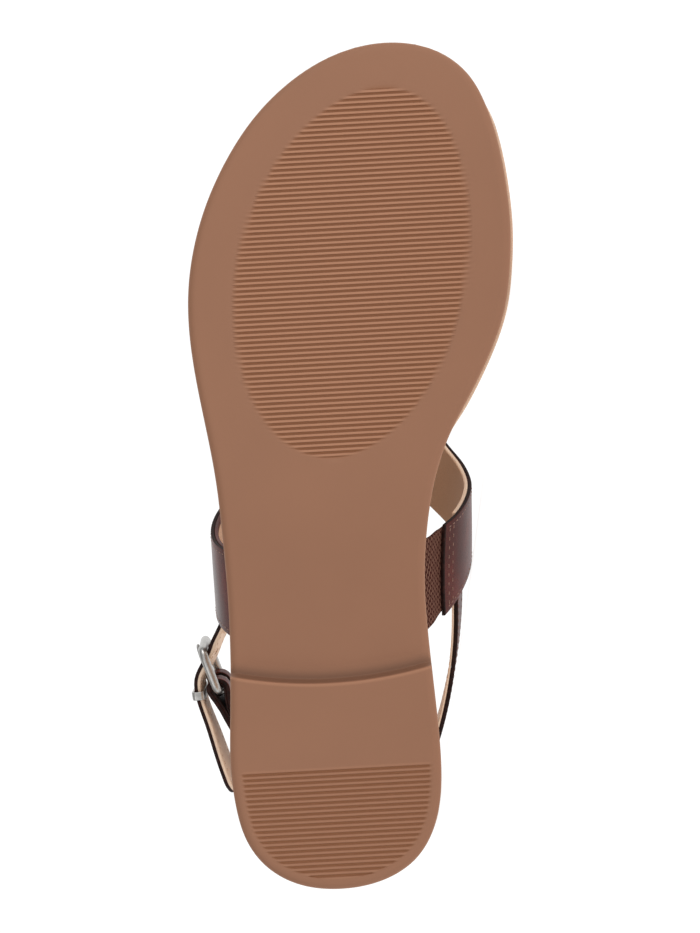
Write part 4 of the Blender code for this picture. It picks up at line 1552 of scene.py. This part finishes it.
def strap_layer(name, frames, half, outward, height, tail):
    """One layer of a strap as a sheet along its frames, this high on its outward side."""
    point, across, ahead, normal = strip(frames)
    obj, row, column = start_sheet(name, len(frames) - 1, len(STRAP_LINES) - 1)
    reach = distances(point)
    side = np.array(STRAP_LINES)
    points = point[:, None] + across[:, None] * half * side[None, :, None]
    points = points + normal[:, None] * outward * height
    if tail:
        near = ease(reach, reach[-1] - 14.0, reach[-1])
        back = tail * (1.0 - np.sqrt(np.maximum(0.0, 1.0 - 0.985 * side * side)))
        points = points - ahead[:, None] * back[None, :, None] * near[:, None, None]
    shape(obj, points[row, column])
    lay_map(obj, np.column_stack([reach[row], half * side[column]]))
    face_towards(obj, normal[len(frames) // 2] * outward)
    return obj


def strap_layers(name, frames, half, outward, leather, lining_finishes, tail=0.0):
    """The leather of a strap and then its lining: the sheet, its thickness and its finishes."""
    below = 0.5 * STRAP - leather - LAYER_GAP
    lining = STRAP - leather - LAYER_GAP - LINING_SPARE
    layers = (
        ("leather", 0.5 * STRAP, leather, LEATHER_FINISHES),
        ("lining", below, lining, lining_finishes),
    )
    for part, height, thickness, finishes in layers:
        obj = strap_layer(f"{name}_{part}", frames, half, outward, height, tail)
        dress(obj, finishes)
        yield obj, thickness, finishes


def strap_stitches(frames, half, outward, height, inset, pitch, first, last):
    """Places for two rows of stitches along a strap."""
    point, across, _, normal = strip(frames)
    places = []
    for side in (-1.0, 1.0):
        line = point + across * side * (half - inset) + normal * outward * height
        places += seam(line[first:last], normal[first:last] * outward, pitch, 1.2)
    return places


class SANDAL_OT_heel_strap(bpy.types.Operator):
    """Cuts the sling, folds it round the buckle's back bar and slots it for the prong"""

    bl_idname = "sandal.heel_strap"
    bl_label = "Heel strap"

    def cut_slot(self, obj, start):
        edit(obj)
        bpy.ops.mesh.select_mode(type="FACE")
        corner = grid_places(obj)

        def in_slot(face):
            rows, columns = zip(*map(corner, face.verts))
            return start + 1 <= min(rows) < start + SLOT_ROWS and min(columns) in SLOT_COLUMNS

        choose(obj, "faces", in_slot)
        bpy.ops.mesh.delete(type="FACE")
        close_edit()

    def execute(self, context):
        sizes = context.scene.sandal_straps
        half = 0.5 * sizes.strap_width / MM
        frames, start = heel_frames(sizes.wire / MM)
        layers = strap_layers("heel_strap", frames, half, 1.0, SLING_LEATHER, SLING_LINING_FINISHES)
        for obj, thickness, finishes in layers:
            self.cut_slot(obj, start)
            if finishes is SLING_LINING_FINISHES:
                paint_faces(obj, 2, lambda rows, columns: rows[0] > start - PAINTED_ROWS)
            make_up(obj, thickness, STRAP_ROUNDING, 45.0, "heel_strap")
        return {"FINISHED"}


class SANDAL_OT_buckle_strap(bpy.types.Operator):
    """Cuts the tab, rounds its tail and punches its holes"""

    bl_idname = "sandal.buckle_strap"
    bl_label = "Buckle tab"

    def punch(self, finish_name, place, along, radius, length):
        """A cutter for one hole, in the finish of the cut."""
        cylinder = bpy.ops.mesh.primitive_cylinder_add
        cutter = add("punch", cylinder, vertices=20, radius=radius * MM, depth=length * MM)
        turn = Vector(STAND_TURN @ along).to_track_quat("Z", "Y").to_matrix().to_4x4()
        cutter.data.transform(Matrix.Translation(Vector(placed(place))) @ turn)
        dress(cutter, [finish_name])
        return cutter

    def execute(self, context):
        sizes = context.scene.sandal_straps
        half = 0.5 * sizes.strap_width / MM
        steps, frames = run(tab_points(), TAB_PITCH)
        point, _, _, normal = strip(frames)
        middle = nearest(point, at_buckle(*HOLE_MIDDLE))
        punches = []
        for i in HOLES:
            at = int(np.argmin(np.abs(steps - (steps[middle] + HOLE_PITCH * i))))
            punches.append((point[at], normal[at], HOLE_ROUND, PUNCH))
        reach = sizes.wire / MM + GAP + PRONG
        prong_at = np.array(at_buckle(0.5 * BUCKLE_LENGTH, reach))
        punches.append((prong_at, np.array(FORWARD), PRONG + PRONG_SLACK, PRONG_PUNCH))
        cut = (TAB_LEATHER, TAB_LINING_FINISHES, TAIL_ROUND)
        for obj, thickness, finishes in strap_layers("buckle_strap", frames, half, -1.0, *cut):
            cutters = [self.punch(finishes[1], *hole) for hole in punches]
            make_up(obj, thickness, STRAP_ROUNDING, 40.0, "buckle_strap", cutters)
        return {"FINISHED"}


class SANDAL_OT_buckle(bpy.types.Operator):
    """Bends the buckle's frame and prong from wire, and the keeper from flat stock"""

    bl_idname = "sandal.buckle"
    bl_label = "Buckle, prong and keeper"

    def put_in_place(self, obj, matrix):
        """Closes the open piece and moves it. One with a gap, or inside out, was bent the wrong way."""
        merge_and_turn_out()
        close_edit()
        made = bmesh.new()
        made.from_mesh(obj.data)
        open_edges = sum(line.is_boundary for line in made.edges)
        volume = made.calc_volume(signed=True)
        made.free()
        if open_edges or volume <= 0.0:
            raise RuntimeError(f"{obj.name} is open at {open_edges} edges, and its volume is {volume}")
        obj.data.transform(matrix)
        return obj

    def frame_wire(self, wire):
        half = 0.5 * BUCKLE_LENGTH
        obj = add(
            "buckle_frame_wire",
            bpy.ops.mesh.primitive_circle_add,
            vertices=20,
            radius=wire * MM,
            location=(half * MM, 0.0, 0.0),
            rotation=(math.pi / 2.0, 0.0, 0.0),
        )
        bpy.ops.object.transform_apply(location=True, rotation=True, scale=True)
        edit(obj)
        bpy.ops.mesh.select_all(action="SELECT")
        section_loop(half, BAR_HALF, FRAME_CORNER, 10)
        return self.put_in_place(obj, buckle_matrix(half))

    def prong_wire(self, wire):
        reach = wire + GAP + PRONG
        hook = math.radians(PRONG_HOOK)
        circle = bpy.ops.mesh.primitive_circle_add
        obj = add("buckle_prong_wire", circle, vertices=14, radius=PRONG * MM, fill_type="NGON")
        start = Vector((-reach * math.sin(hook), 0.0, reach * math.cos(hook)))
        ahead = Vector((math.cos(hook), 0.0, math.sin(hook)))
        turn = ahead.to_track_quat("Z", "Y").to_matrix().to_4x4()
        obj.data.transform(Matrix.Translation(start * MM) @ turn)
        edit(obj)
        bpy.ops.mesh.select_mode(type="FACE")
        bpy.ops.mesh.select_all(action="SELECT")
        bpy.ops.mesh.spin(steps=22, angle=-hook, center=(0.0, 0.0, 0.0), axis=(0.0, 1.0, 0.0))
        for along, drop, size in PRONG_STEPS:
            step = (along * BUCKLE_LENGTH * MM, 0.0, -drop * MM)
            bpy.ops.mesh.extrude_region_move(TRANSFORM_OT_translate={"value": step})
            bpy.ops.transform.resize(value=(size, size, size))
        return self.put_in_place(obj, buckle_matrix(0.0))

    def keeper_band(self, strap_width):
        _, frames = run(tab_points(), KEEPER_PITCH)
        point, across, _, normal = strip(frames)
        at = nearest(point, at_buckle(*KEEPER_PLACE))
        half_out = 0.5 * STRAP + KEEPER_SPARE + 0.5 * KEEPER_WALL
        half_up = 0.5 * strap_width + KEEPER_SLACK + 0.5 * KEEPER_WALL
        plane = bpy.ops.mesh.primitive_plane_add
        obj = add("keeper_band", plane, size=1.0, rotation=(math.pi / 2.0, 0.0, 0.0))
        bpy.ops.object.transform_apply(location=False, rotation=True, scale=True)
        obj.data.transform(Matrix.Diagonal((KEEPER_WALL * MM, 1.0, KEEPER_WIDTH * MM, 1.0)))
        obj.data.transform(Matrix.Translation((half_out * MM, 0.0, 0.0)))
        edit(obj)
        bpy.ops.mesh.select_all(action="SELECT")
        bpy.ops.mesh.bevel(offset=KEEPER_EDGE * MM, segments=3, affect="VERTICES")
        bpy.ops.mesh.select_all(action="SELECT")
        bpy.ops.mesh.delete(type="ONLY_FACE")
        bpy.ops.mesh.select_all(action="SELECT")
        section_loop(half_out, half_up, KEEPER_CORNER, 6)
        out = Vector(-normal[at])
        up = Vector(across[at])
        turn = Matrix((out, up, out.cross(up))).transposed().to_4x4()
        move = STAND @ Matrix.Translation(Vector(point[at])) @ turn @ Matrix.Scale(1.0 / MM, 4)
        return self.put_in_place(obj, move)

    def execute(self, context):
        sizes = context.scene.sandal_straps
        wire = sizes.wire / MM
        pieces = {
            "buckle_frame": self.frame_wire(wire),
            "buckle_prong": self.prong_wire(wire),
            "keeper_loop": self.keeper_band(sizes.strap_width / MM),
        }
        for node, obj in pieces.items():
            dress(obj, ["satin_metal"])
            smooth(obj, 50.0)
            keep(obj, node)
        return {"FINISHED"}


def band_seam(start, end, from_back, inset):
    """The band's back or front edge, set in for a seam."""
    points, normals = [], []
    for place in np.linspace(start, end, 90):
        _, back, front = BAND_AT(100.0 * place)
        y = back + inset if from_back else front - inset
        points.append(last_point(y, place))
        normals.append(last_normal(y, place))
    return points, normals


def stem_seam(side, inset):
    """The edge of the stem, from the band down to the toe post."""
    points, normals = [], []
    for step in np.linspace(0.0, STEM_REACH[-1] - 9.0, 50):
        y, middle, height, width = STEM_AT(step)
        away = side * (0.5 * width - inset)
        ahead = STEM_AT(step + 0.3) - STEM_AT(step - 0.3)
        along = np.array([ahead[1], ahead[0], ahead[2]])
        normal = np.cross((1.0, 0.0, -2.0 * STEM_CROWN * away), along)
        points.append(np.array([middle + away, y, height - STEM_CROWN * away * away]))
        normals.append(normal / np.linalg.norm(normal))
    return points, normals


# The band's rows of stitches begin and end here, and two more cross it beside the elastic
SEAM_START = GORE_SEAM + 0.012
SEAM_END = 0.985
GORE_SEAMS = (0.0155, 0.0285)


class SANDAL_OT_sewing(bpy.types.Operator):
    """Sews the straps: rows along the cut edges, two rows at the elastic and one across the fold"""

    bl_idname = "sandal.sewing"
    bl_label = "Sewing"

    def execute(self, context):
        sizes = context.scene.sandal_straps
        pitch, inset = sizes.stitch_pitch / MM, sizes.stitch_inset / MM
        half = 0.5 * sizes.strap_width / MM
        top, under = 0.5 * STRAP, 0.5 * STRAP - LINING_SPARE
        medial = (-1.0, SEAM_START, 0.5 - STEM_HALF - 0.01)
        lateral = (1.0, SEAM_END, 0.5 + STEM_HALF + 0.01)
        places = []
        for side, start, end in (medial, lateral):
            band, stem = band_seam(start, end, False, inset), stem_seam(side, inset)
            places += seam(band[0] + stem[0], band[1] + stem[1], pitch, 0.8)
        places += seam(*band_seam(SEAM_START, SEAM_END, True, inset), pitch, 0.8)
        for away in GORE_SEAMS:
            place = GORE_SEAM + away
            _, low, high = BAND_AT(100.0 * place)
            across = np.linspace(low + 2.6, high - 2.6, 30)
            points = [last_point(y, place) for y in across]
            places += seam(points, [last_normal(y, place) for y in across], pitch, 0.0)
        sew("upper_stitches", places, STITCH_RADIUS, "leather_thread", "upper")
        frames, start = heel_frames(sizes.wire / MM)
        places = strap_stitches(frames, half, 1.0, top, inset, pitch, 8, start + 1)
        point, across, _, normal = (line[start - 4] for line in strip(frames))
        shares = np.linspace(-0.48, 0.48, 9)
        fold = [point + across * half * share + normal * 0.5 * STRAP for share in shares]
        places += seam(fold, [normal] * len(fold), pitch, 0.0)
        sew("heel_strap_stitches", places, STITCH_RADIUS, "leather_thread", "heel_strap")
        places = strap_stitches(frames, half, -1.0, under, inset, pitch, 8, start - 8)
        sew("heel_strap_lining_stitches", places, LINING_STITCH_RADIUS, "lining_thread", "heel_strap")
        _, frames = run(tab_points(), TAB_PITCH)
        ends = (5, len(frames) - 5)
        places = strap_stitches(frames, half, -1.0, top, inset, pitch, *ends)
        sew("buckle_strap_stitches", places, STITCH_RADIUS, "leather_thread", "buckle_strap")
        places = strap_stitches(frames, half, 1.0, under, inset, pitch, *ends)
        sew("buckle_strap_lining_stitches", places, LINING_STITCH_RADIUS, "lining_thread", "buckle_strap")
        return {"FINISHED"}


# Each light's name, place, size in metres and power. All of them point at the sandal
SOFTBOXES = (
    ("heel_softbox", (-1.4, -1.3, 0.8), (1.0, 1.0), 4.0),
    ("toe_softbox", (1.5, -1.0, 0.7), (1.0, 1.0), 12.0),
    ("front_softbox", (0.0, -1.9, 0.8), (1.6, 0.9), 4.0),
)
LIT_POINT = (0.0, 0.0, 0.04)
AIR_LIGHT = 0.40
PAPER_SIZE = 6.0
PAPER_MIDDLE = (0.0, -1.6, 0.0)
BACKDROP_HEIGHT = 3.0
BACKDROP_CURVE = 0.6


class SANDAL_OT_stage(bpy.types.Operator):
    """Sets the floor and backdrop, the soft lights and the camera"""

    bl_idname = "sandal.stage"
    bl_label = "Stage"

    def paper(self):
        plane = bpy.ops.mesh.primitive_plane_add
        obj = add("studio_floor", plane, size=PAPER_SIZE, location=PAPER_MIDDLE)
        bpy.ops.object.transform_apply(location=True, rotation=True, scale=True)
        edit(obj)

        def at_back(vertex):
            return vertex.co.y > 1.3 and vertex.co.z < 0.1

        def along_back(line):
            return all(at_back(vertex) for vertex in line.verts)

        choose(obj, "edges", along_back)
        rise = (0.0, 0.0, BACKDROP_HEIGHT)
        bpy.ops.mesh.extrude_region_move(TRANSFORM_OT_translate={"value": rise})
        choose(obj, "edges", along_back)
        bpy.ops.mesh.bevel(offset=BACKDROP_CURVE, segments=16, affect="EDGES")
        close_edit()
        dress(obj, ["studio_paper"])
        smooth(obj, 40.0)
        obj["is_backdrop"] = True

    def softbox(self, name, place, size, power):
        bpy.ops.object.light_add(type="AREA", location=place)
        lamp = bpy.context.object
        lamp.name = name
        lamp.data.shape = "RECTANGLE"
        lamp.data.size, lamp.data.size_y = size
        lamp.data.energy = power
        lamp.rotation_euler = (Vector(LIT_POINT) - Vector(place)).to_track_quat("-Z", "Y").to_euler()

    def camera(self, sizes):
        toe = Vector(STAND_TURN[:, 1]).normalized()
        target = Vector(placed(PHOTO_MIDDLE))
        away = -Vector(STAND_TURN[:, 2]).normalized()
        place = target + away * sizes.distance
        place.z = sizes.height
        ahead = (target - place).normalized()
        up = (toe - ahead * toe.dot(ahead)).normalized()
        right = ahead.cross(up)
        up = up * math.cos(sizes.lean) + right * math.sin(sizes.lean)
        right = ahead.cross(up)
        bpy.ops.object.camera_add(location=place)
        camera = bpy.context.object
        camera.name = "photo_camera"
        turn = Matrix((right, up, -ahead)).transposed()
        camera.rotation_euler = turn.to_euler()
        camera.data.sensor_fit = "VERTICAL"
        camera.data.sensor_height = SENSOR
        camera.data.sensor_width = SENSOR
        camera.data.lens = SENSOR * (target - place).length / (PHOTO_HEIGHT * MM)
        camera.data.clip_start = 0.05
        camera.data.clip_end = 30.0
        bpy.context.scene.camera = camera

    def execute(self, context):
        self.paper()
        world = bpy.data.worlds.new("studio_light")
        world.use_nodes = True
        ground = world.node_tree.nodes["Background"].inputs
        ground["Color"].default_value = (1.0, 1.0, 1.0, 1.0)
        ground["Strength"].default_value = AIR_LIGHT
        context.scene.world = world
        for light in SOFTBOXES:
            self.softbox(*light)
        context.scene.view_settings.view_transform = "Standard"
        context.scene.view_settings.look = "None"
        self.camera(context.scene.sandal_stage)
        return {"FINISHED"}


GROUPS = {
    "sandal_sole": SoleSizes,
    "sandal_straps": StrapSizes,
    "sandal_colours": Colours,
    "sandal_stage": StageSizes,
}
PIECES = (
    SANDAL_OT_outsole,
    SANDAL_OT_footbed,
    SANDAL_OT_upper,
    SANDAL_OT_elastic,
    SANDAL_OT_heel_strap,
    SANDAL_OT_buckle_strap,
    SANDAL_OT_buckle,
    SANDAL_OT_sewing,
    SANDAL_OT_stage,
)


class VIEW3D_PT_sandal(bpy.types.Panel):
    """The sandal's sizes, colours, camera and pieces"""

    bl_label = "T-strap sandal"
    bl_space_type = "VIEW_3D"
    bl_region_type = "UI"
    bl_category = "Sandal"

    def draw(self, context):
        layout = self.layout
        for label in GROUPS:
            group = getattr(context.scene, label)
            column = layout.column(align=True)
            for name in group.bl_rna.properties.keys():
                if name not in {"rna_type", "name"}:
                    column.prop(group, name)
        column = layout.column(align=True)
        for piece in PIECES:
            column.operator(piece.bl_idname)


CLASSES = (*GROUPS.values(), *PIECES, VIEW3D_PT_sandal)


def register():
    for cls in CLASSES:
        bpy.utils.register_class(cls)
    for name, group in GROUPS.items():
        setattr(bpy.types.Scene, name, PointerProperty(type=group))


def unregister():
    for name in GROUPS:
        delattr(bpy.types.Scene, name)
    for cls in reversed(CLASSES):
        bpy.utils.unregister_class(cls)


def main():
    register()
    bpy.ops.sandal.outsole()
    bpy.ops.sandal.footbed()
    bpy.ops.sandal.upper()
    bpy.ops.sandal.elastic()
    bpy.ops.sandal.heel_strap()
    bpy.ops.sandal.buckle_strap()
    bpy.ops.sandal.buckle()
    bpy.ops.sandal.sewing()
    bpy.ops.sandal.stage()
    boxes = {"cad": CAD_BOX, "visual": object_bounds()}
    {name: [list(corner) for corner in box] for name, box in boxes.items()}


if __name__ == "__main__":
    main()
